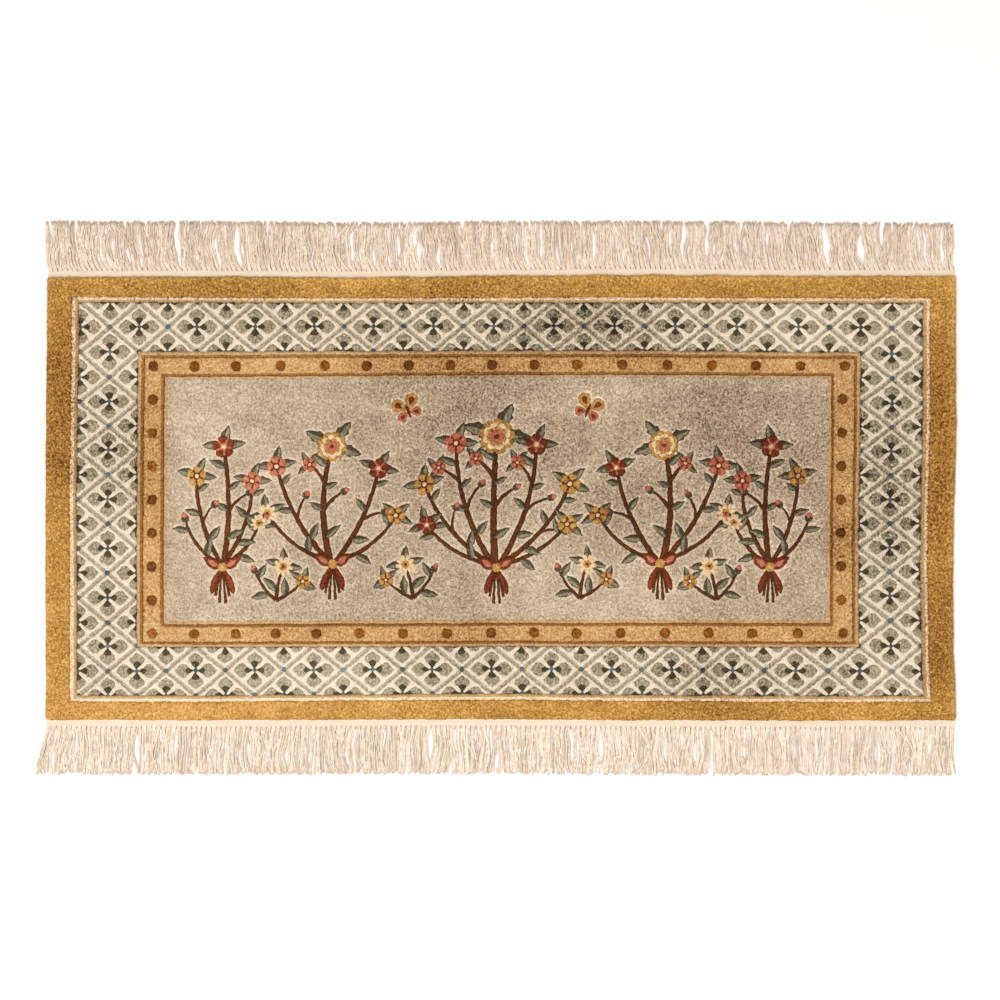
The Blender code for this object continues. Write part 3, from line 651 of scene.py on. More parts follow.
def uncut_height(x, y):
    """The pile's height before it is carved: a round shoulder, and a top that lies a little unevenly."""
    share = np.clip(inset_of(x, y) / SHOULDER, 0.0, 1.0)
    height = BELLY_HEIGHT + (PILE_HEIGHT - BELLY_HEIGHT) * (1.0 - (1.0 - share) ** SHOULDER_ROUNDNESS)
    fade = np.maximum((1.0 - (x / HALF_LENGTH) ** 2) * (1.0 - (y / HALF_WIDTH) ** 2), 0.0)
    rise = np.zeros_like(x)
    for wave in LIE_WAVES:
        turn = math.pi * (wave.along * x / HALF_LENGTH + wave.across * y / HALF_WIDTH) + wave.phase
        rise += np.sin(turn) / len(LIE_WAVES)
    return height + LIE_HEIGHT * fade * rise


def resampled(points, step):
    """A closed outline's points, spread evenly along it and at most a step apart."""
    found = []
    for start, end in zip(points, np.roll(points, -1, axis=0)):
        count = max(1, math.ceil(np.hypot(*(end - start)) / step))
        found.append(start + (end - start) * (np.arange(count) / count)[:, None])
    return np.concatenate(found)


def frame_outline(sides, radius=0.0):
    """The outline of a rectangle with its corners rounded, counter-clockwise."""
    corners = (
        (sides.right - radius, radius - sides.front, -90.0),
        (sides.right - radius, sides.back - radius, 0.0),
        (radius - sides.left, sides.back - radius, 90.0),
        (radius - sides.left, radius - sides.front, 180.0),
    )
    steps = CORNER_STEPS if radius > 0.0 else 0
    points = []
    for x, y, start in corners:
        for step in range(steps + 1):
            turn = math.radians(start + 90.0 * step / max(steps, 1))
            points.append((x + radius * math.cos(turn), y + radius * math.sin(turn)))
    return np.array(points)


def inside(points, outline):
    """Which points lie inside a closed outline."""
    x, y = points[:, 0], points[:, 1]
    low, high = outline.min(axis=0), outline.max(axis=0)
    found = np.zeros(len(points), bool)
    near = np.nonzero((x > low[0]) & (x < high[0]) & (y > low[1]) & (y < high[1]))[0]
    if len(near) == 0:
        return found
    near_x, near_y = x[near], y[near]
    crossed = np.zeros(len(near), bool)
    for start, end in zip(outline, np.roll(outline, -1, axis=0)):
        if start[1] == end[1]:
            continue
        spans = (start[1] > near_y) != (end[1] > near_y)
        reach = start[0] + (near_y - start[1]) * (end[0] - start[0]) / (end[1] - start[1])
        crossed ^= spans & (near_x < reach)
    found[near] = crossed
    return found


def drawn(outline, region, cut):
    """A shape with its outline stepped evenly and as uneven as knots are."""
    return Shape(wobbled(resampled(np.asarray(outline, float), LINE_STEP)), region, cut)


def uncovered(shapes):
    """For each shape, which points of its outline no later shape covers."""
    lows = np.array([shape.outline.min(axis=0) for shape in shapes])
    highs = np.array([shape.outline.max(axis=0) for shape in shapes])
    shown = []
    for number, shape in enumerate(shapes):
        seen = np.ones(len(shape.outline), bool)
        touching = np.all((lows < highs[number]) & (highs > lows[number]), axis=1)
        for later in np.nonzero(touching)[0]:
            if later > number and shapes[later].region is not None:
                seen &= ~inside(shape.outline, shapes[later].outline)
        shown.append(seen)
    return shown


def spread_points(low, high, pitch, seed):
    """Points in even rows, each a little off its place."""
    rows = np.arange(low[1], high[1], pitch * ROW_SPACING)
    columns = np.arange(low[0], high[0], pitch)
    x, y = np.meshgrid(columns, rows)
    x = x + (np.arange(len(rows)) % 2)[:, None] * pitch / 2.0
    place_x, place_y = np.round(x / pitch * 2.0), np.round(y / pitch * 2.0)
    x = x + pitch * JITTER * (2.0 * hashed(place_x, place_y, seed) - 1.0)
    y = y + pitch * JITTER * (2.0 * hashed(place_x, place_y, seed + 1) - 1.0)
    return np.stack([x.ravel(), y.ravel()], axis=1)


def nearest_distances(points, sources):
    """How far each point lies from the nearest source."""
    tree = KDTree(len(sources))
    for number, (x, y) in enumerate(sources):
        tree.insert((x, y, 0.0), number)
    tree.balance()
    return np.array([tree.find((x, y, 0.0))[2] for x, y in points])


def triangulated(rim, hole, shapes, pitch, seed):
    """A zone's points, its triangles, and each kind of cut's visible line points."""
    edges_of_zone = [rim] if hole is None else [rim, hole]
    outlines = edges_of_zone + shapes
    shown = [np.ones(len(shape.outline), bool) for shape in edges_of_zone] + uncovered(shapes)
    points, edges, cut_points = [], [], {}
    count = 0
    for shape, seen in zip(outlines, shown):
        size = len(shape.outline)
        used = seen | np.roll(seen, 1) | np.roll(seen, -1)
        place = np.full(size, -1)
        place[used] = count + np.arange(used.sum())
        count += int(used.sum())
        points.append(shape.outline[used])
        for first in range(size):
            second = (first + 1) % size
            if used[first] and used[second] and (seen[first] or seen[second]):
                edges.append((int(place[first]), int(place[second])))
        if seen.any():
            cut_points.setdefault(shape.cut, []).append(dense_line(shape.outline, seen))
    lines = np.concatenate(points)
    cut_points = {cut: np.concatenate(parts) for cut, parts in cut_points.items()}
    grid = spread_points(rim.outline.min(axis=0), rim.outline.max(axis=0), pitch, seed)
    grid = grid[in_zone(grid, rim, hole)]
    grid = grid[nearest_distances(grid, lines) > pitch * LINE_CLEARANCE]
    vectors = [Vector(point) for point in np.concatenate([lines, grid]).tolist()]
    made, _, faces, _, _, _ = delaunay_2d_cdt(vectors, edges, [], 0, MERGE_DISTANCE)
    made = np.array([(point.x, point.y) for point in made])
    faces = np.array(faces)
    middles = made[faces].mean(axis=1)
    kept = in_zone(middles, rim, hole)
    return made, faces[kept], middles[kept], cut_points


def in_zone(points, rim, hole):
    """Which points lie inside a zone's rim and outside its hole."""
    found = inside(points, rim.outline)
    return found if hole is None else found & ~inside(points, hole.outline)


def dense_line(outline, seen):
    """Points close together along the part of an outline that shows."""
    following = np.roll(outline, -1, axis=0)
    both = seen & np.roll(seen, -1)
    starts, ends = outline[both], following[both]
    parts = [starts + (ends - starts) * share for share in (0.0, 0.33, 0.67)]
    return np.concatenate([*parts, outline[seen]])


def carved(points, cut_points):
    """How deep the carving goes at each point, how much of its painted shade lies there, and how much of its
    painted highlight.
    """
    depth, shade, halo = (np.zeros(len(points)) for _ in range(3))
    for name, lines in cut_points.items():
        cut = CUTS[name]
        if cut.depth == 0.0:
            continue
        away = nearest_distances(points, lines)
        share = np.clip(1.0 - away / cut.half_width, 0.0, 1.0)
        depth = np.maximum(depth, cut.depth * share)
        shade = np.maximum(shade, cut.shade * share)
        halo = np.maximum(halo, cut.halo * np.clip(1.0 - away / HALO_REACH, 0.0, 1.0))
    return depth, shade, halo


def quad(a, b, c, d):
    """The two triangles of a face with four corners."""
    return [(a, b, c), (a, c, d)]


def add_mesh(name, points, faces, material, attributes, mapped=True):
    """A smooth mesh from points in metres, with a flat map for baking over its plan."""
    points, faces = np.asarray(points), np.asarray(faces)
    data = bpy.data.meshes.new(name)
    data.vertices.add(len(points))
    data.vertices.foreach_set("co", points.astype(np.float32).ravel())
    data.loops.add(len(faces) * 3)
    data.loops.foreach_set("vertex_index", faces.astype(np.int32).ravel())
    data.polygons.add(len(faces))
    data.polygons.foreach_set("loop_start", np.arange(0, len(faces) * 3, 3, dtype=np.int32))
    data.polygons.foreach_set("use_smooth", np.ones(len(faces), bool))
    data.update(calc_edges=True)
    data.validate()
    for attribute, values in attributes.items():
        made = data.attributes.new(attribute, "FLOAT", "POINT")
        made.data.foreach_set("value", np.asarray(values, np.float32))
    if mapped:
        low, high = points[:, :2].min(axis=0), points[:, :2].max(axis=0)
        places = (points[faces.ravel(), :2] - low) / (high - low)
        uv = data.uv_layers.new(name="OFBake")
        uv.uv.foreach_set("vector", places.astype(np.float32).ravel())
    data.materials.append(material)
    obj = bpy.data.objects.new(name, data)
    bpy.context.scene.collection.objects.link(obj)
    return obj


def build_zone(rim, hole, shapes, names, pitch, seed, patches):
    """One zone of the pile as a piece for each colour in it, the first name being the ground's."""
    points, faces, middles, cut_points = triangulated(rim, hole, shapes, pitch, seed)
    region = np.zeros(len(faces), int)
    for shape in shapes:
        if shape.region is not None:
            region[inside(middles, shape.outline)] = names.index(shape.region)
    x, y = points[:, 0], points[:, 1]
    depth, shade, halo = carved(points, cut_points)
    painted_light = painted_light_at(patches, x, y)
    tuft = tufts(x, y)
    rim_fade = np.clip(inset_of(x, y) / SHOULDER, 0.0, 1.0)
    height = uncut_height(x, y) - depth + TUFT_HEIGHT * tuft * (RIM_TUFTS + (1.0 - RIM_TUFTS) * rim_fade)
    spots = np.stack([*placed(x, y), height], axis=1) * MM
    normals = np.cross(spots[faces[:, 1]] - spots[faces[:, 0]], spots[faces[:, 2]] - spots[faces[:, 0]])
    faces = np.where((normals[:, 2] < 0.0)[:, None], faces[:, ::-1], faces)
    pieces = []
    for number, name in enumerate(names):
        own = faces[region == number]
        if len(own) == 0:
            continue
        used, own = np.unique(own, return_inverse=True)
        own = own.reshape(-1, 3)
        # The ground's "cut" is the grooves' painted shade less the painted highlight beside them; a motif's
        # is painted shade.
        values = {"cut": (shade - halo if number == 0 else shade)[used], "tuft": tuft[used], "painted_light": painted_light[used]}
        pieces.append(add_mesh(name, spots[used], own, silk(name), values))
    return pieces


def build_side(rim):
    """The tufts' wall round the pile, from the belly in to the foundation."""
    size = len(rim)
    straight = np.array([HALF_LENGTH, HALF_WIDTH]) - CORNER_RADIUS
    middle = np.clip(rim, -straight, straight)
    outward = (rim - middle) / np.linalg.norm(rim - middle, axis=1)[:, None]
    rim_tufts = TUFT_HEIGHT * tufts(rim[:, 0], rim[:, 1]) * RIM_TUFTS
    rows = []
    for number, (inset, height) in enumerate(SIDE_ROWS):
        at, low = rim, height + rim_tufts
        if number > 0:
            noise_row = np.full(size, number * SIDE_NOISE_STEP)
            stray = SIDE_STRAY * noise(np.arange(size) / SIDE_STRAY_LENGTH, noise_row, 9)
            at, low = rim - outward * (inset + np.abs(stray))[:, None], np.full(size, height)
        rows.append(np.stack([*placed(at[:, 0], at[:, 1]), low], axis=1) * MM)
    faces = []
    for row in range(len(rows) - 1):
        for step in range(size):
            upper, upper_next = row * size + step, row * size + (step + 1) % size
            faces += quad(upper + size, upper_next + size, upper_next, upper)
    points = np.concatenate(rows)
    x, y, z = points.T / MM
    tuft = noise(x / SIDE_TUFT_WIDTH, y / SIDE_TUFT_WIDTH + z * SIDE_TUFT_SLANT, 10)
    # cut carries painted shade, darker for each row down the wall
    values = {"cut": np.repeat(SIDE_SHADE * np.arange(len(rows)), size), "tuft": tuft}
    return add_mesh("pile_side", points, faces, silk("gold_pile"), values, mapped=False)


def as_seen(red, green, blue):
    """The base colour that the studio's light shows as this colour, given on the usual scale of 0 to 255."""
    values = []
    for value in (red, green, blue):
        share = value / 255.0
        linear = share / 12.92 if share <= 0.04045 else ((share + 0.055) / 1.055) ** 2.4
        values.append(linear / LIGHT_LEVEL)
    return (*values, 1.0)


class Wiring:
    """A new material, whose nodes are each joined to what feeds them."""

    def __init__(self, name):
        self.material = bpy.data.materials.new(name)
        self.material.use_nodes = True
        self.tree = self.material.node_tree
        self.shader = self.tree.nodes["Principled BSDF"]
        self.place = self.add("ShaderNodeTexCoord").outputs["Object"]

    def feed(self, socket, value):
        """Gives a socket a fixed value, or joins it to another node's output."""
        if isinstance(value, bpy.types.NodeSocket):
            self.tree.links.new(value, socket)
        else:
            socket.default_value = value

    def add(self, kind, feeds=None, **settings):
        """A new node with these settings, its inputs fed by their names or numbers."""
        node = self.tree.nodes.new(kind)
        for name, value in settings.items():
            setattr(node, name, value)
        for name, value in (feeds or {}).items():
            self.feed(node.inputs[name], value)
        return node

    def look(self, looks):
        """Feeds the shader's inputs by their names."""
        for name, value in looks.items():
            self.feed(self.shader.inputs[name], value)

    def sum(self, *values):
        """All the values added up."""
        return self.fold("ADD", values)

    def product(self, *values):
        """All the values multiplied."""
        return self.fold("MULTIPLY", values)

    def fold(self, operation, values):
        """One value made from many, taken in turn."""
        total = values[0]
        for value in values[1:]:
            total = self.add("ShaderNodeMath", {0: total, 1: value}, operation=operation).outputs[0]
        return total

    def swirl(self, scale, size):
        """Bends the places that later nodes look at, so that streaks turn this way and that."""
        node = self.add("ShaderNodeTexNoise", {"Vector": self.place, "Scale": scale})
        bend = self.add("ShaderNodeVectorMath", {0: node.outputs["Color"], "Scale": size}, operation="SCALE")
        total = self.add("ShaderNodeVectorMath", {0: self.place, 1: bend.outputs["Vector"]}, operation="ADD")
        self.place = total.outputs["Vector"]

    def speckle(self, speckle):
        """Noise of about 0 to 1, with grains a stretched reciprocal of its scale wide."""
        place = (speckle.seed, speckle.seed * 0.7, speckle.seed * 0.3)
        feeds = {"Vector": self.place, "Location": place, "Scale": speckle.stretch}
        mapping = self.add("ShaderNodeMapping", feeds)
        feeds = {"Vector": mapping.outputs["Vector"], "Scale": speckle.scale, "Detail": speckle.detail}
        return self.add("ShaderNodeTexNoise", feeds).outputs["Fac"]

    def around_zero(self, fraction, size):
        """A 0 to 1 value turned into one that is nought at its middle."""
        return self.product(self.sum(fraction, -0.5), size)

    def attribute(self, name):
        """A value that the mesh has at each point."""
        return self.add("ShaderNodeAttribute", attribute_name=name).outputs["Fac"]

    def ramp(self, fraction, colours):
        """Evenly spaced colours, each as it is seen, blended by a fraction."""
        node = self.add("ShaderNodeValToRGB", {"Fac": fraction})
        stops = node.color_ramp.elements
        while len(stops) < len(colours):
            stops.new(0.5)
        for number, colour in enumerate(colours):
            stops[number].position = number / (len(colours) - 1)
            stops[number].color = as_seen(*colour)
        return node.outputs["Color"]

    def bump(self, height, distance, strength):
        """Shades the surface as if it rose and fell by this height."""
        feeds = {"Height": height, "Distance": distance, "Strength": strength}
        self.look({"Normal": self.add("ShaderNodeBump", feeds).outputs["Normal"]})


@cache
def silk(name):
    """A pile of cut silk, streaked by its fibres and by painted shade and light on its tufts, clouded by its
    nap, with the nap's painted light, painted shade where carved and a painted highlight beside.
    """
    look = SILKS[name]
    wiring = Wiring(name)
    wiring.swirl(SWIRL_SCALE, SWIRL_SIZE)
    grain = wiring.speckle(SILK_GRAIN)
    fibre = wiring.speckle(SILK_FIBRE)
    painted_light = wiring.attribute("painted_light")
    # The tufts' streaks are painted shade between the tufts and painted light on their tops.
    streaks = wiring.sum(
        wiring.product(wiring.attribute("tuft"), look.grain * TUFT_STREAK),
        wiring.around_zero(grain, look.grain),
        wiring.around_zero(fibre, look.grain * FIBRE_STREAK),
    )
    change = wiring.sum(
        # the streaks are calmer where the nap's painted light is lighter
        wiring.product(streaks, wiring.sum(1.0, wiring.product(painted_light, NAP_LIGHT_CALM))),
        wiring.around_zero(wiring.speckle(SILK_CLOUD), look.cloud),
        wiring.around_zero(wiring.speckle(SILK_MOTTLE), look.cloud),
        # painted light and shade of the nap and the shoulders
        painted_light,
        # painted shade in the grooves, less a painted highlight beside them on the ground
        wiring.product(wiring.attribute("cut"), GROOVE_SHADE),
    )
    tone = wiring.sum(0.5, wiring.product(change, 1.0 / ROOM))
    usual, deep, bright = (np.array(colour) for colour in (look.usual, look.deep, look.bright))
    deepest = np.maximum(usual + ROOM * (deep - usual), 0.0)
    brightest = np.maximum(usual + ROOM * (bright - usual), 0.0)
    wiring.look({
        "Base Color": wiring.ramp(tone, [deepest, usual, brightest]),
        "Roughness": wiring.sum(0.5, wiring.around_zero(grain, 0.4)),
        "Sheen Weight": 0.15,
        "Sheen Roughness": 0.4,
        "Sheen Tint": as_seen(*look.bright),
        "Specular IOR Level": 0.12,
    })
    height = wiring.sum(wiring.product(grain, 0.7), wiring.product(fibre, 0.3))
    wiring.bump(height, distance=0.0016, strength=0.6)
    return wiring.material


def frame_shape(sides, region, cut):
    """A shape whose outline is a rectangle round the rug's middle."""
    return drawn(frame_outline(sides), region, cut)


def border_rim():
    """The pile's outline, straight but for the unevenness that laid() gives it."""
    sides = Frame(HALF_LENGTH, HALF_LENGTH, HALF_WIDTH, HALF_WIDTH)
    return Shape(resampled(frame_outline(sides, CORNER_RADIUS), LINE_STEP), None, "plain")


def build_border(rim):
    """The gold outer border and the narrow cream and gold guard inside it."""
    shapes = [
        frame_shape(GUARD_OUTSIDE, "cream_guard", "guard"),
        frame_shape(CREAM_INSIDE, "gold_guard", "plain"),
    ]
    hole = frame_shape(TRELLIS_OUTSIDE, None, "zone")
    names = ["gold_pile", "cream_guard", "gold_guard"]
    return build_zone(rim, hole, shapes, names, BORDER_PITCH, 100, BORDER_NAP_LIGHT)


def turned(points, degrees):
    """Plan points turned counter-clockwise about the origin."""
    cos, sin = math.cos(math.radians(degrees)), math.sin(math.radians(degrees))
    x, y = points[:, 0], points[:, 1]
    return np.stack([x * cos - y * sin, x * sin + y * cos], axis=1)


def spindle(profile, reach, half_width, start=0.0, bend=0.0, steps=16):
    """A long closed form along X whose half width follows a profile, bent sideways by bend at its tip."""
    shares = np.linspace(0.0, 1.0, steps)
    half = half_width * np.interp(shares, *zip(*profile))
    x = start + (reach - start) * shares
    middle = bend * shares * shares
    upper = np.stack([x, middle + half], axis=1)
    lower = np.stack([x, middle - half], axis=1)
    return np.concatenate([lower, upper[-2:0:-1]])


def rounded_square(middle, half_width, squareness, steps):
    """A form between a circle and a square."""
    turns = np.linspace(0.0, 2.0 * math.pi, steps, endpoint=False)
    cos, sin = np.cos(turns), np.sin(turns)
    x = np.sign(cos) * np.abs(cos) ** (2.0 / squareness)
    y = np.sign(sin) * np.abs(sin) ** (2.0 / squareness)
    return np.array(middle) + half_width * np.stack([x, y], axis=1)


def trellis_cells():
    """The length and width of the trellis's cells."""
    size_x = (LAST_CROSSING[0] - FIRST_CROSSING[0]) / CELLS_LONG
    size_y = (LAST_CROSSING[1] - FIRST_CROSSING[1]) / CELLS_SHORT
    return size_x, size_y


def trellis_places(parity):
    """Where the trellis's crossings lie if parity is 0, or the middles of its cells if it is 1."""
    (first_x, first_y), (size_x, size_y) = FIRST_CROSSING, trellis_cells()
    places = []
    for row in range(-2, 2 * CELLS_SHORT + 3):
        for column in range(-2, 2 * CELLS_LONG + 3):
            if (row + column) % 2 == parity:
                places.append((first_x + size_x * column / 2.0, first_y + size_y * row / 2.0))
    return places


def touches_band(outline):
    """Whether any of an outline lies in the trellis band."""
    outer, hole = frame_outline(TRELLIS_OUTSIDE), frame_outline(TRELLIS_INSIDE)
    return bool(np.any(inside(outline, outer) & ~inside(outline, hole)))


def trellis_bars():
    """The trellis's bars, each a long strip right through the band."""
    size_x, size_y = trellis_cells()
    shapes = []
    reach = CELLS_LONG + CELLS_SHORT + 2
    for slope in (1.0, -1.0):
        direction = np.array([size_x, slope * size_y])
        normal = np.array([-direction[1], direction[0]]) / np.hypot(*direction)
        for number in range(-reach, reach):
            through = np.array([FIRST_CROSSING[0] + number * size_x, FIRST_CROSSING[1]])
            start, end = through - direction * reach, through + direction * reach
            shapes += bar_pieces(start, end, normal * BAR_HALF_WIDTH)
    return shapes


def drifted(points):
    """Trellis points moved as its uneven knotting has drifted."""
    first, last = np.array(FIRST_CROSSING), np.array(LAST_CROSSING)
    along, across = np.clip((points - first) / (last - first), 0.0, 1.0).T
    front, back = between(TRELLIS_DRIFT_FRONT, along), between(TRELLIS_DRIFT_BACK, along)
    rise_front, rise_back = between(TRELLIS_RISE_FRONT, along), between(TRELLIS_RISE_BACK, along)
    drift_right = between(TRELLIS_DRIFT_RIGHT, across) * along ** RIGHT_DRIFT_FADE
    move_y = drift_right + rise_front + (rise_back - rise_front) * across
    return points + np.stack([front + (back - front) * across, move_y], axis=1)


def trellis_shape(outline, region, cut):
    """A shape that drifts with the trellis."""
    return drawn(drifted(resampled(np.asarray(outline, float), LINE_STEP)), region, cut)


def bar_pieces(start, end, half):
    """The one or two stretches of a bar that cross the band, each a little longer than what shows.

    A bar's front edge is carved, and painted darker there as its shade.
    """
    count = int(np.hypot(*(end - start)) / BAR_STEP)
    line = start + (end - start) * (np.arange(count + 1) / count)[:, None]
    outer, hole = frame_outline(TRELLIS_OUTSIDE), frame_outline(TRELLIS_INSIDE)
    shown = inside(line, outer) & ~inside(line, hole)
    places = np.nonzero(shown)[0]
    if len(places) < 2:
        return []
    shapes = []
    for run in np.split(places, np.nonzero(np.diff(places) > 1)[0] + 1):
        low, high = line[max(run[0] - 1, 0)], line[min(run[-1] + 1, count)]
        edge = half * (1.0 - BAR_EDGE / BAR_HALF_WIDTH)
        outline = np.array([low - half, high - half, high + half, low + half])
        shapes.append(trellis_shape(outline, "trellis_bars", "plain"))
        outline = np.array([low - half, high - half, high - edge, low - edge])
        shapes.append(trellis_shape(outline, "trellis_bars", "bar"))
    return shapes


def trellis_motif(outline, region, cut):
    """The one shape of a motif, or none where it misses the band."""
    return [trellis_shape(outline, region, cut)] if touches_band(outline) else []


def trellis_motifs():
    """A flower of four petals in each cell of the trellis, and a knot on each of its crossings."""
    petals, hearts, knots = [], [], []
    for middle in trellis_places(1):
        for petal in PETALS:
            form = spindle(PETAL_PROFILE, petal.reach, petal.half_width, PETAL_START)
            petals += trellis_motif(turned(form, petal.heading) + middle, "trellis_petals", "petal")
            size = (petal.heart_reach, petal.heart_half_width, HEART_START)
            form = spindle(HEART_PROFILE, *size, steps=HEART_STEPS)
            hearts += trellis_motif(turned(form, petal.heading) + middle, "trellis_hearts", "heart")
        knots += trellis_motif(rounded_square(middle, *CENTRE_KNOT), "trellis_knots", "heart")
    for crossing in trellis_places(0):
        knots += trellis_motif(rounded_square(crossing, *CROSSING_KNOT), "trellis_knots", "heart")
    return petals + hearts + knots


def build_trellis():
    """The broad border with its trellis."""
    rim, hole = frame_shape(TRELLIS_OUTSIDE, None, "zone"), frame_shape(TRELLIS_INSIDE, None, "zone")
    names = ["trellis_ground", "trellis_bars", "trellis_petals", "trellis_hearts", "trellis_knots"]
    shapes = trellis_bars() + trellis_motifs()
    return build_zone(rim, hole, shapes, names, TRELLIS_PITCH, 200, INNER_NAP_LIGHT)


def dot_centres():
    """The middles of the inner border's dots, all the way round."""
    left, right, front, back = -DOT_LINE.left, DOT_LINE.right, -DOT_LINE.front, DOT_LINE.back
    centres = []
    for step in range(DOTS_LONG):
        share = step / (DOTS_LONG - 1)
        x = left + (right - left) * share
        centres += [(x + between(DOT_DRIFT_FRONT, share), front), (x + between(DOT_DRIFT_BACK, share), back)]
    for step in range(1, DOTS_SHORT - 1):
        y = front + (back - front) * step / (DOTS_SHORT - 1)
        centres += [(left, y), (right, y)]
    return centres


def build_band():
    """The inner border: dots on their ground, between two dark lines with light edges."""
    shapes = [
        frame_shape(PEACH_INSIDE, "band_lines", "plain"),
        frame_shape(DOTS_OUTSIDE, "band_ground", "band"),
        frame_shape(DARK_OUTSIDE, "band_lines", "plain"),
        frame_shape(DARK_GROOVE, None, "band"),
        frame_shape(DARK_INSIDE, "band_edges", "plain"),
    ]
    shapes += [drawn(rounded_square(centre, *DOT), "band_dots", "dot") for centre in dot_centres()]
    rim, hole = frame_shape(TRELLIS_INSIDE, None, "zone"), frame_shape(FIELD_EDGE, None, "field")
    names = ["band_edges", "band_lines", "band_ground", "band_dots"]
    return build_zone(rim, hole, shapes, names, BAND_PITCH, 300, INNER_NAP_LIGHT)


def rosette(place, radius, petals, turn, valley, notch):
    """A round flower's outline, its valleys and its petals' notches as deep as these shares of its radius."""
    turns = np.linspace(0.0, 2.0 * math.pi, LOBE_POINTS * petals, endpoint=False)
    lobe = np.abs(np.cos(petals * turns / 2.0)) ** LOBE_ROUNDNESS
    tip = np.clip(lobe * NOTCH_SHARPNESS - (NOTCH_SHARPNESS - 1.0), 0.0, 1.0)
    reach = radius * (1.0 - valley * (1.0 - lobe) - notch * tip)
    turns = turns + math.radians(turn)
    return np.array(place) + np.stack([reach * np.cos(turns), reach * np.sin(turns)], axis=1)


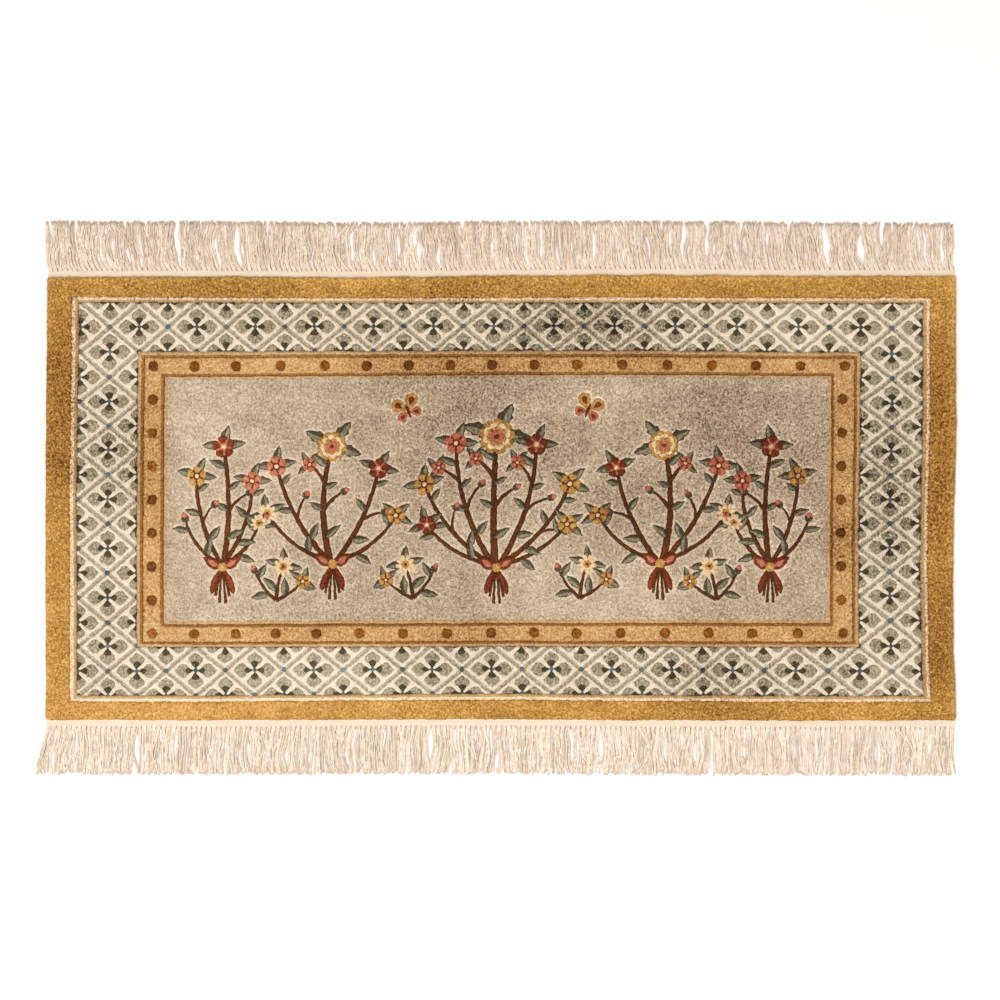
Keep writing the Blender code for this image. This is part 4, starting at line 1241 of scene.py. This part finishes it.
class Bouquet:
    """The field's shapes in three layers, so that blooms lie on leaves and leaves lie on stems."""

    def __init__(self):
        self.layers = {"stems": [], "leaves": [], "blooms": []}
        self.mirrored = False
        self.origin = (0.0, 0.0)

    def add(self, points, region, cut="motif", layer="blooms"):
        """Adds a shape, unless it would touch the field's edge."""
        points = np.array(points, float)
        if self.mirrored:
            points[:, 0] = -points[:, 0]
        points += self.origin
        low, high = points.min(axis=0), points.max(axis=0)
        if low[0] < FIELD_MARGIN - FIELD_EDGE.left or high[0] > FIELD_EDGE.right - FIELD_MARGIN:
            return
        if low[1] < FIELD_MARGIN - FIELD_EDGE.front or high[1] > FIELD_EDGE.back - FIELD_MARGIN:
            return
        self.layers[layer].append(drawn(points, region, cut))

    def put(self, points, place, heading, region, cut="motif", layer="blooms"):
        """Adds a shape drawn along X, turned to its heading at its place."""
        self.add(turned(points, heading) + place, region, cut, layer)

    def shapes(self):
        """All the shapes, those that lie on others after them."""
        return self.layers["stems"] + self.layers["leaves"] + self.layers["blooms"]

    def leaf(self, place, heading, length, bend, profile=LEAF_PROFILE):
        """A dark leaf with a light half."""
        half = length * LEAF_WIDTH_SHARE
        whole = spindle(profile, length, half, 0.0, bend * length, 20)
        self.put(whole, place, heading, "leaf_dark", layer="leaves")
        shares = np.linspace(*LEAF_LIGHT_ALONG, 12)
        width = half * np.interp(shares, *zip(*LEAF_PROFILE))
        middle = bend * length * shares * shares
        side = 1.0 if bend >= 0.0 else -1.0
        sides = [middle + side * across * width for across in LEAF_LIGHT_ACROSS]
        near, far = (np.stack([length * shares, edge], axis=1) for edge in sides)
        self.put(np.concatenate([near, far[::-1]]), place, heading, "leaf_light", "vein", "leaves")

    def stem(self, line, width):
        """A stem along a line, thinner towards its tip."""
        step = np.gradient(line, axis=0)
        normal = np.stack([-step[:, 1], step[:, 0]], axis=1) / np.linalg.norm(step, axis=1)[:, None]
        half = np.linspace(width / 2.0, max(width * STEM_TIP_SHARE, STEM_TIP_LEAST), len(line))[:, None]
        outline = np.concatenate([line + normal * half, (line - normal * half)[::-1]])
        self.add(outline, "stems", layer="stems")

    def flower(self, flower, place, radius, turn):
        """Rings of petals round a middle, each ring on the one outside it."""
        for number, ring in enumerate(flower.rings):
            shape = (ring.petals, turn + ring.turn, ring.valley, ring.notch)
            self.add(rosette(place, radius * ring.share, *shape), ring.region, "vein" if number else "motif")
            if number == 0:
                self.streaks(flower, place, radius, turn)
        self.add(rounded_square(place, radius * flower.middle_share, *CIRCLE), flower.middle, "vein")

    def streaks(self, flower, place, radius, turn):
        """Streaks of the inner ring's silk between the outer ring's petals."""
        for number in range(flower.streaks):
            streak = spindle(WING_PROFILE, *(radius * share for share in STREAK), steps=8)
            heading = turn + 36.0 + 72.0 * number
            self.put(streak, place, heading, flower.rings[1].region, "vein")

    def bud(self, place, heading, size):
        """A closed flower in its green cup."""
        petals = spindle(LEAF_PROFILE, *(size * share for share in BUD), steps=12)
        self.put(petals, place, heading, "bloom_rose")
        for side in (-1.0, 1.0):
            leaf = spindle(LEAF_PROFILE, *(size * share for share in BUD_CUP), steps=8)
            self.put(leaf, place, heading + BUD_CUP_ANGLE * side, "leaf_dark")

    def bloom(self, kind, place, heading, size):
        """A bud, or a flower of this kind with a few leaves behind it."""
        if kind == "bud":
            self.bud(place, heading, size)
            return
        length = max(size * FLOWER_LEAF_RADII, FLOWER_LEAF_LEAST)
        profile = TOOTHED_PROFILE if kind == "peony" else LEAF_PROFILE
        for spread in FLOWER_LEAVES:
            self.leaf(place, heading + spread, length, math.copysign(FLOWER_LEAF_BEND, spread), profile)
        self.flower(FLOWERS[kind], place, size, heading)

    def curve(self, start, heading, length, curl):
        """Points along a branch that turns steadily, and the way it heads at each."""
        headings = heading + curl * np.linspace(0.0, 1.0, CURVE_STEPS)
        turns = np.radians(headings[:-1])
        moves = np.stack([np.cos(turns), np.sin(turns)], axis=1) * length / (CURVE_STEPS - 1)
        return np.concatenate([[start], start + np.cumsum(moves, axis=0)]), headings

    def branch(self, branch):
        """A curved branch with twigs and leaves in turn on either side and a bloom at its tip."""
        line, headings = self.curve((branch.x, branch.y), branch.heading, branch.length, branch.curl)
        self.stem(line, branch.width)
        for twig in TWIGS[:branch.twigs]:
            place = int(twig.place * (len(line) - 1))
            turn = TWIG_ANGLE * twig.side
            length = branch.length * TWIG_LENGTH_SHARE
            twig_line, ways = self.curve(tuple(line[place]), headings[place] + turn, length, turn)
            self.stem(twig_line, branch.width * TWIG_WIDTH_SHARE)
            self.bloom(twig.kind, tuple(twig_line[-1]), ways[-1], twig.size)
        for number in range(branch.leaves):
            place = int((FIRST_LEAF + LEAF_SPAN * number / max(branch.leaves - 1, 1)) * (len(line) - 1))
            side = 1.0 if number % 2 else -1.0
            length = LEAF_LENGTH * (1.0 - LEAF_SHRINK * (number % 3))
            self.leaf(tuple(line[place]), headings[place] + side * LEAF_ANGLE, length, LEAF_BEND * side)
        self.bloom(branch.bloom, tuple(line[-1]), headings[-1], branch.size)

    def stem_ends(self):
        """The cut ends of the stems below the knot."""
        for heading, length, curl in STEM_ENDS:
            line, _ = self.curve(STEM_ENDS_START, heading, length, curl)
            self.stem(line[::-1], STEM_END_WIDTH)

    def bow(self, place):
        """A tied ribbon round the foot of a spray."""
        for side in (-1.0, 1.0):
            for part in BOW:
                form = spindle(part.profile, part.reach, part.half_width, part.start, part.bend * side)
                self.put(form, place, part.heading + part.spread * side, part.region, part.cut)
        self.add(rounded_square(place, *BOW_KNOT), "bloom_gold")

    def butterfly(self, place, heading):
        """Four wings, each with a streak, round a slim body."""
        for side in (-1.0, 1.0):
            for wing in WINGS:
                turn = heading + 90.0 + side * wing.spread
                form = spindle(WING_PROFILE, wing.reach, wing.half_width, 1.0, steps=14)
                self.put(form, place, turn, wing.region)
                reach, width, start = WING_STREAK
                streak = (wing.reach * reach, wing.half_width * width, wing.reach * start)
                self.put(spindle(WING_PROFILE, *streak, steps=8), place, turn, "bloom_deep", "vein")
        body = spindle(LEAF_PROFILE, BODY_LENGTH, BODY_HALF_WIDTH, steps=10) - (BODY_REAR, 0.0)
        self.put(body, place, heading + 90.0, "stems")


def build_field():
    """The field with its sprays of blossom and butterflies."""
    bouquet = Bouquet()
    for spray in SPRAYS:
        bouquet.origin = (spray.x, spray.y)
        bouquet.mirrored = spray.mirrored
        for branch in spray.branches:
            bouquet.branch(branch)
        if spray.tied:
            bouquet.stem_ends()
            bouquet.bow(BOW_PLACE)
    bouquet.mirrored = False
    for x, y, heading in BUTTERFLIES:
        bouquet.origin = (x, y)
        bouquet.butterfly((0.0, 0.0), heading)
    names = ["field_ground", "leaf_dark", "leaf_light", "stems"]
    names += ["bloom_deep", "bloom_rose", "bloom_gold", "bloom_light"]
    rim = frame_shape(FIELD_EDGE, None, "field")
    return build_zone(rim, None, bouquet.shapes(), names, FIELD_PITCH, 400, INNER_NAP_LIGHT)


def beside(fringe, x, y):
    """Plan points outside the pile, laid on the floor on this fringe's side of the rug."""
    edge_x, edge_y = laid(x, fringe.side * np.minimum(y, HALF_WIDTH))
    return edge_x, edge_y + fringe.side * np.maximum(y - HALF_WIDTH, 0.0)


def clump_starts(generator):
    """The numbers of the groups with which the clumps start, and the end of the last."""
    starts = [0]
    while starts[-1] < YARN_GROUPS:
        starts.append(starts[-1] + generator.choice(CLUMP_SIZES))
    starts[-1] = YARN_GROUPS
    return starts


def yarn_paths(fringe):
    """Each yarn's points from its root to its tip, and its thickness and shade."""
    generator = random.Random(fringe.seed)
    paths = []
    starts = clump_starts(generator)
    for first, after in zip(starts, starts[1:]):
        roots = [FRINGE_MARGIN - HALF_LENGTH + GROUP_PITCH * (group + 0.5) for group in range(first, after)]
        clump = Clump(fringe, roots, generator)
        for root in roots:
            paths += clump.group(root)
    return paths


class Clump:
    """Groups of yarns that lean, bend and close up together."""

    share = np.linspace(0.0, 1.0, YARN_SPANS + 1)
    ease = share * share * (3.0 - 2.0 * share)
    swell = np.sin(math.pi * share)
    onset = np.minimum(share * 4.0, 1.0)

    def __init__(self, fringe, roots, generator):
        self.fringe, self.generator = fringe, generator
        uniform = generator.uniform
        self.middle = sum(roots) / len(roots)
        splay = fringe.left_splay * max(0.0, 1.0 - (self.middle + HALF_LENGTH) / SPLAY_REACH)
        place = (self.middle / HALF_LENGTH + 1.0) / 2.0
        self.length = between(fringe.lengths, place)
        lean = fringe.unrest * uniform(*CLUMP_LEAN)
        bend = fringe.unrest * uniform(*CLUMP_BEND)
        turn = 2.0 * math.pi * (uniform(*CLUMP_TURNS) * self.share + generator.random())
        wave = fringe.unrest * uniform(*CLUMP_WAVE) * np.sin(turn) * self.onset
        hook = HOOK_SHARE * between(fringe.hooks, place) * (1.0 - np.exp(-HOOK_ONSET * self.share))
        closing = uniform(*CLUMP_CLOSING) / fringe.unrest
        self.gather = closing * (self.swell ** 0.8 if generator.random() < SWELL_CHANCE else self.ease)
        self.move = (lean - splay) * self.ease + bend * self.swell + wave + hook

    def group(self, root):
        """The yarns of one group, which bend a little apart from the clump's others."""
        uniform = self.generator.uniform
        bend = uniform(*GROUP_BEND) * self.swell + uniform(*GROUP_LEAN) * self.ease
        middle = self.middle + (root - self.middle) * (1.0 - self.gather) + self.move + bend
        yarns = []
        for number in range(STRANDS_IN_GROUP):
            yarns += self.strand(middle, (number + 0.5) / STRANDS_IN_GROUP - 0.5)
        return yarns

    def strand(self, middle, offset):
        """A few yarns that keep together, and now and then leave the rest in an arc."""
        uniform = self.generator.uniform
        layer = self.generator.choice(STRAND_LAYERS)
        wander = uniform(*STRAND_LEAN) * self.ease + uniform(*STRAND_BEND) * self.swell
        turn = 2.0 * math.pi * uniform(*STRAND_TURNS) * self.share + uniform(0.0, 2.0 * math.pi)
        kink = 2.0 * math.pi * uniform(*KINK_TURNS) * self.share + uniform(0.0, 2.0 * math.pi)
        curl = uniform(*STRAND_WAVE) * np.sin(turn) + uniform(*KINK_WAVE) * np.sin(kink)
        curl = self.fringe.unrest * curl * self.onset
        if self.generator.random() < LOOSE_CHANCE:
            wander = wander + uniform(*LOOSE_ARC) * self.swell ** 2
            layer = max(STRAND_LAYERS) + 1
        x = middle + GROUP_PITCH * offset * (GROUP_ROOT_SHARE + GROUP_TIP_SPREAD * self.ease) + wander + curl
        reach = self.length + uniform(-self.fringe.ragged, self.fringe.ragged)
        tint = self.generator.random()
        return [self.yarn(x, reach, layer, number - 1, tint) for number in range(YARNS_IN_STRAND)]

    def yarn(self, x, reach, layer, place, tint):
        """One yarn of a strand, from under the end strip's edge, at its place beside the strand's middle."""
        uniform = self.generator.uniform
        x = x + YARN_PITCH * place * (ROOT_SPREAD + uniform(*YARN_SPREAD) * self.ease)
        x = x + uniform(*YARN_BEND) * self.swell
        reach = reach + uniform(*YARN_REACH)
        y = STRIP_START + STRIP_WIDTH - ROOT_OVERLAP + (reach + ROOT_OVERLAP) * self.share
        turn = 2.0 * math.pi * (2.0 * self.share + uniform(0.0, 1.0))
        lift = YARN_RADIUS + YARN_CLEARANCE + layer * LAYER_HEIGHT + LIFT_WAVE * (1.0 + np.sin(turn))
        root_height = ROOT_HEIGHT + ROOT_LAYER_HEIGHT * (layer - 1)
        z = lift + (root_height - lift) * np.exp(-ROOT_FALL * self.share)
        plan_x, plan_y = beside(self.fringe, x, y)
        own_tint = self.generator.random()
        # the fringe's paleness makes the back fringe's yarns darker, as painted shade
        tint = self.fringe.paleness + STRAND_TINT * (tint - 0.5) + YARN_TINT * (own_tint - 0.5)
        return np.stack([plan_x, plan_y, z], axis=1), uniform(*YARN_THICKNESS), tint


def tube_pattern(rings):
    """The triangles of a tube with this many rings, its far end closed."""
    faces = []
    for ring in range(rings - 1):
        for side in range(YARN_SIDES):
            here, beyond = ring * YARN_SIDES + side, ring * YARN_SIDES + (side + 1) % YARN_SIDES
            faces += quad(here, beyond, beyond + YARN_SIDES, here + YARN_SIDES)
    last = (rings - 1) * YARN_SIDES
    return np.array(faces + [(last, last + side, last + side + 1) for side in range(1, YARN_SIDES - 1)])


def tube_points(path, radius):
    """The points of a slim tube along a path, kept off the floor."""
    rings = len(path)
    run = np.gradient(path, axis=0)
    run /= np.linalg.norm(run, axis=1)[:, None]
    across = np.stack([run[:, 1], -run[:, 0], np.zeros(rings)], axis=1)
    across /= np.linalg.norm(across, axis=1)[:, None]
    up = np.cross(across, run)
    radii = radius * np.where(np.arange(rings) == rings - 1, YARN_TIP, 1.0)[:, None]
    corners = []
    for side in range(YARN_SIDES):
        turn = 2.0 * math.pi * side / YARN_SIDES + math.pi / 2.0
        corners.append(path + radii * (math.cos(turn) * across + math.sin(turn) * up))
    points = np.stack(corners, axis=1).reshape(-1, 3)
    points[:, 2] = np.maximum(points[:, 2], FLOOR_CLEARANCE)
    return points


def build_yarns(fringe):
    """The fringe's yarns as one piece."""
    rings = YARN_SPANS + 1
    pattern = tube_pattern(rings)
    points, faces, tints = [], [], []
    for number, (path, thickness, tint) in enumerate(yarn_paths(fringe)):
        points.append(tube_points(path, YARN_RADIUS * thickness))
        faces.append(pattern + number * rings * YARN_SIDES)
        tints.append(np.full(rings * YARN_SIDES, tint))
    points, faces = np.concatenate(points) * MM, np.concatenate(faces)
    values = {"tint": np.concatenate(tints)}
    return add_mesh(f"fringe_yarns_{fringe.name}", points, faces, yarn_cotton(), values)


def strip_rows(fringe, x):
    """The strip's rows of points, from the pile out over the yarns' roots."""
    size = len(x)
    wave = np.cos(2.0 * math.pi * (x + HALF_LENGTH - FRINGE_MARGIN) / GROUP_PITCH)
    depth = 1.0 + SLIT_CHANGE * noise(x / SLIT_CHANGE_LENGTH, np.full(size, fringe.side * SLIT_NOISE_ROW), 22)
    waver = STRIP_WAVER * noise(x / STRIP_WAVER_LENGTH, np.full(size, fringe.side * WAVER_NOISE_ROW), 21)
    rows = []
    for share, height in STRIP_PROFILE:
        y = STRIP_START + STRIP_WIDTH * share + (waver - STRIP_RIPPLE * wave) * share
        if share > SLIT_START:
            y = y + SLIT_REACH * depth * wave
        rows.append(np.stack([*beside(fringe, x, y), np.full(size, height)], axis=1))
    return rows


def build_strip(fringe):
    """The flat-woven strip between pile and fringe, a closed band with a soft edge over the yarns' roots, and
    a low edge below them painted as their shade.
    """
    places = (np.arange(YARN_GROUPS + 1)[:, None] + np.array(STRIP_COLUMNS)).ravel()
    reach = HALF_LENGTH - STRIP_INSET
    x = np.unique(np.clip(FRINGE_MARGIN - HALF_LENGTH + GROUP_PITCH * places, -reach, reach))
    rows = strip_rows(fringe, x)
    count, columns = len(rows), len(x)
    faces = []
    for row in range(count):
        for column in range(columns - 1):
            here, there = row * columns + column, (row + 1) % count * columns + column
            faces += quad(here, here + 1, there + 1, there)
    for number in range(1, count - 1):
        start = (0, number * columns, (number + 1) * columns)
        end = tuple(corner + columns - 1 for corner in start)
        faces += [start, end[::-1]]
    faces = np.array(faces)
    if fringe.side > 0.0:
        faces = faces[:, ::-1]
    values = {"cut": np.repeat(STRIP_SHADE, columns)}
    return add_mesh(f"end_strip_{fringe.name}", np.concatenate(rows) * MM, faces, strip_cotton(), values)


def build_foundation():
    """The woven ground under the knots, a thin flat sheet."""
    half_x, half_y = HALF_LENGTH - FOUNDATION_INSET, HALF_WIDTH - FOUNDATION_INSET
    columns, rows = FOUNDATION_COLUMNS, FOUNDATION_ROWS
    x, y = np.meshgrid(np.linspace(-half_x, half_x, columns), np.linspace(-half_y, half_y, rows))
    plan = laid(x.ravel(), y.ravel())
    size = columns * rows
    levels = (0.0, FOUNDATION_HEIGHT)
    points = np.concatenate([np.stack([*plan, np.full(size, level)], axis=1) for level in levels]) * MM
    faces = []
    for row in range(rows - 1):
        for column in range(columns - 1):
            a = row * columns + column
            b, c, d = a + 1, a + columns, a + columns + 1
            faces += quad(a, c, d, b) + quad(a + size, b + size, d + size, c + size)
    rim = [*range(columns), *range(2 * columns - 1, size, columns), *range(size - 2, size - columns - 1, -1)]
    rim += list(range(size - 2 * columns, 0, -columns))
    for here, there in zip(rim, rim[1:] + rim[:1]):
        faces += quad(here, there, there + size, here + size)
    return add_mesh("foundation", points, faces, strip_cotton(), {})


def cotton(name):
    """The wiring of a new matt cotton."""
    wiring = Wiring(name)
    wiring.look({"Roughness": 0.85, "Specular IOR Level": 0.1, "Sheen Weight": 0.1})
    return wiring


@cache
def yarn_cotton():
    """Soft cotton, each yarn a little lighter or darker than the next, the back fringe's darker as painted
    shade, and paler than it shows in shade.
    """
    wiring = cotton("yarn_cotton")
    twist = wiring.speckle(YARN_TWIST)
    tone = wiring.sum(
        0.55,
        wiring.around_zero(wiring.attribute("tint"), 0.45),
        wiring.around_zero(wiring.speckle(YARN_MOTTLE), 0.5),
        wiring.around_zero(wiring.speckle(YARN_KINK), 1.2),
        wiring.around_zero(twist, 0.6),
    )
    wiring.look({"Base Color": wiring.ramp(tone, YARN_COLOURS)})
    wiring.bump(twist, distance=0.0004, strength=0.6)
    return wiring.material


@cache
def strip_cotton():
    """Plain-woven cotton, its fine ribs running out from the pile, with painted shade where the yarns' roots
    shade it and painted light by the pile.
    """
    wiring = cotton("strip_cotton")
    feeds = {"Vector": wiring.place, "Scale": STRIP_RIBS, "Distortion": 0.6}
    ribs = wiring.add("ShaderNodeTexWave", feeds, bands_direction="X").outputs["Fac"]
    weave = wiring.sum(wiring.product(ribs, 0.6), wiring.product(wiring.speckle(STRIP_THREAD), 0.4))
    tone = wiring.sum(
        0.6,
        wiring.around_zero(wiring.speckle(STRIP_MOTTLE), 0.5),
        wiring.around_zero(weave, 0.3),
        # painted shade by the yarns' roots, painted light by the pile
        wiring.product(wiring.attribute("cut"), -0.8),
    )
    wiring.look({"Base Color": wiring.ramp(tone, STRIP_COLOURS)})
    wiring.bump(weave, distance=0.0005, strength=0.5)
    return wiring.material


def build_floor():
    """A plain pale studio floor."""
    bpy.ops.mesh.primitive_plane_add(size=FLOOR_SIZE, location=(0.0, 0.0, 0.0))
    floor = bpy.context.object
    floor.name = "floor"
    material = bpy.data.materials.new("floor")
    material.use_nodes = True
    shader = material.node_tree.nodes["Principled BSDF"]
    shader.inputs["Base Color"].default_value = FLOOR_COLOUR
    shader.inputs["Roughness"].default_value = 0.9
    shader.inputs["Specular IOR Level"].default_value = 0.0
    floor.data.materials.append(material)


def add_light(light):
    """A square soft light that looks at the rug's middle."""
    data = bpy.data.lights.new(light.name, "AREA")
    data.shape = "SQUARE"
    data.size = light.size
    data.energy = light.power
    data.color = light.colour
    obj = bpy.data.objects.new(light.name, data)
    obj.location = light.place
    obj.rotation_euler = (-Vector(light.place)).to_track_quat("-Z", "Y").to_euler()
    bpy.context.scene.collection.objects.link(obj)


def light_scene():
    """An even pale sky, and the lights."""
    world = bpy.data.worlds.new("studio")
    world.use_nodes = True
    background = world.node_tree.nodes["Background"]
    background.inputs["Color"].default_value = (1.0, 1.0, 1.0, 1.0)
    background.inputs["Strength"].default_value = SKY_STRENGTH
    bpy.context.scene.world = world
    for light in LIGHTS:
        add_light(light)


def add_camera():
    """A camera straight above the rug, with the photograph's frame."""
    data = bpy.data.cameras.new("camera")
    data.sensor_width = SENSOR_WIDTH
    data.lens = SENSOR_WIDTH * (CAMERA_HEIGHT - PILE_HEIGHT * MM) / FRAME_WIDTH
    data.clip_start, data.clip_end = 0.05, 50.0
    camera = bpy.data.objects.new("camera", data)
    camera.location = (0.0, CAMERA_Y, CAMERA_HEIGHT)
    bpy.context.scene.collection.objects.link(camera)
    bpy.context.scene.camera = camera


def declare(pieces):
    """Every piece rides on the rug's one body, and the solids that the pieces replace are hidden."""
    for piece in pieces:
        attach(piece, "root")
    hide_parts("rug_pile")
    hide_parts("fringe_front")
    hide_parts("fringe_back")


def main():
    """The whole scene: the studio, the rug's pieces and what they replace."""
    add_camera()
    light_scene()
    build_floor()
    rim = border_rim()
    pieces = build_border(rim) + build_trellis() + build_band() + build_field()
    pieces.append(build_side(rim.outline))
    for fringe in FRINGES:
        pieces += [build_strip(fringe), build_yarns(fringe)]
    foundation = build_foundation()
    pieces.append(foundation)
    declare(pieces)
    bpy.context.scene.view_settings.view_transform = "Standard"
    bpy.context.view_layer.update()


main()
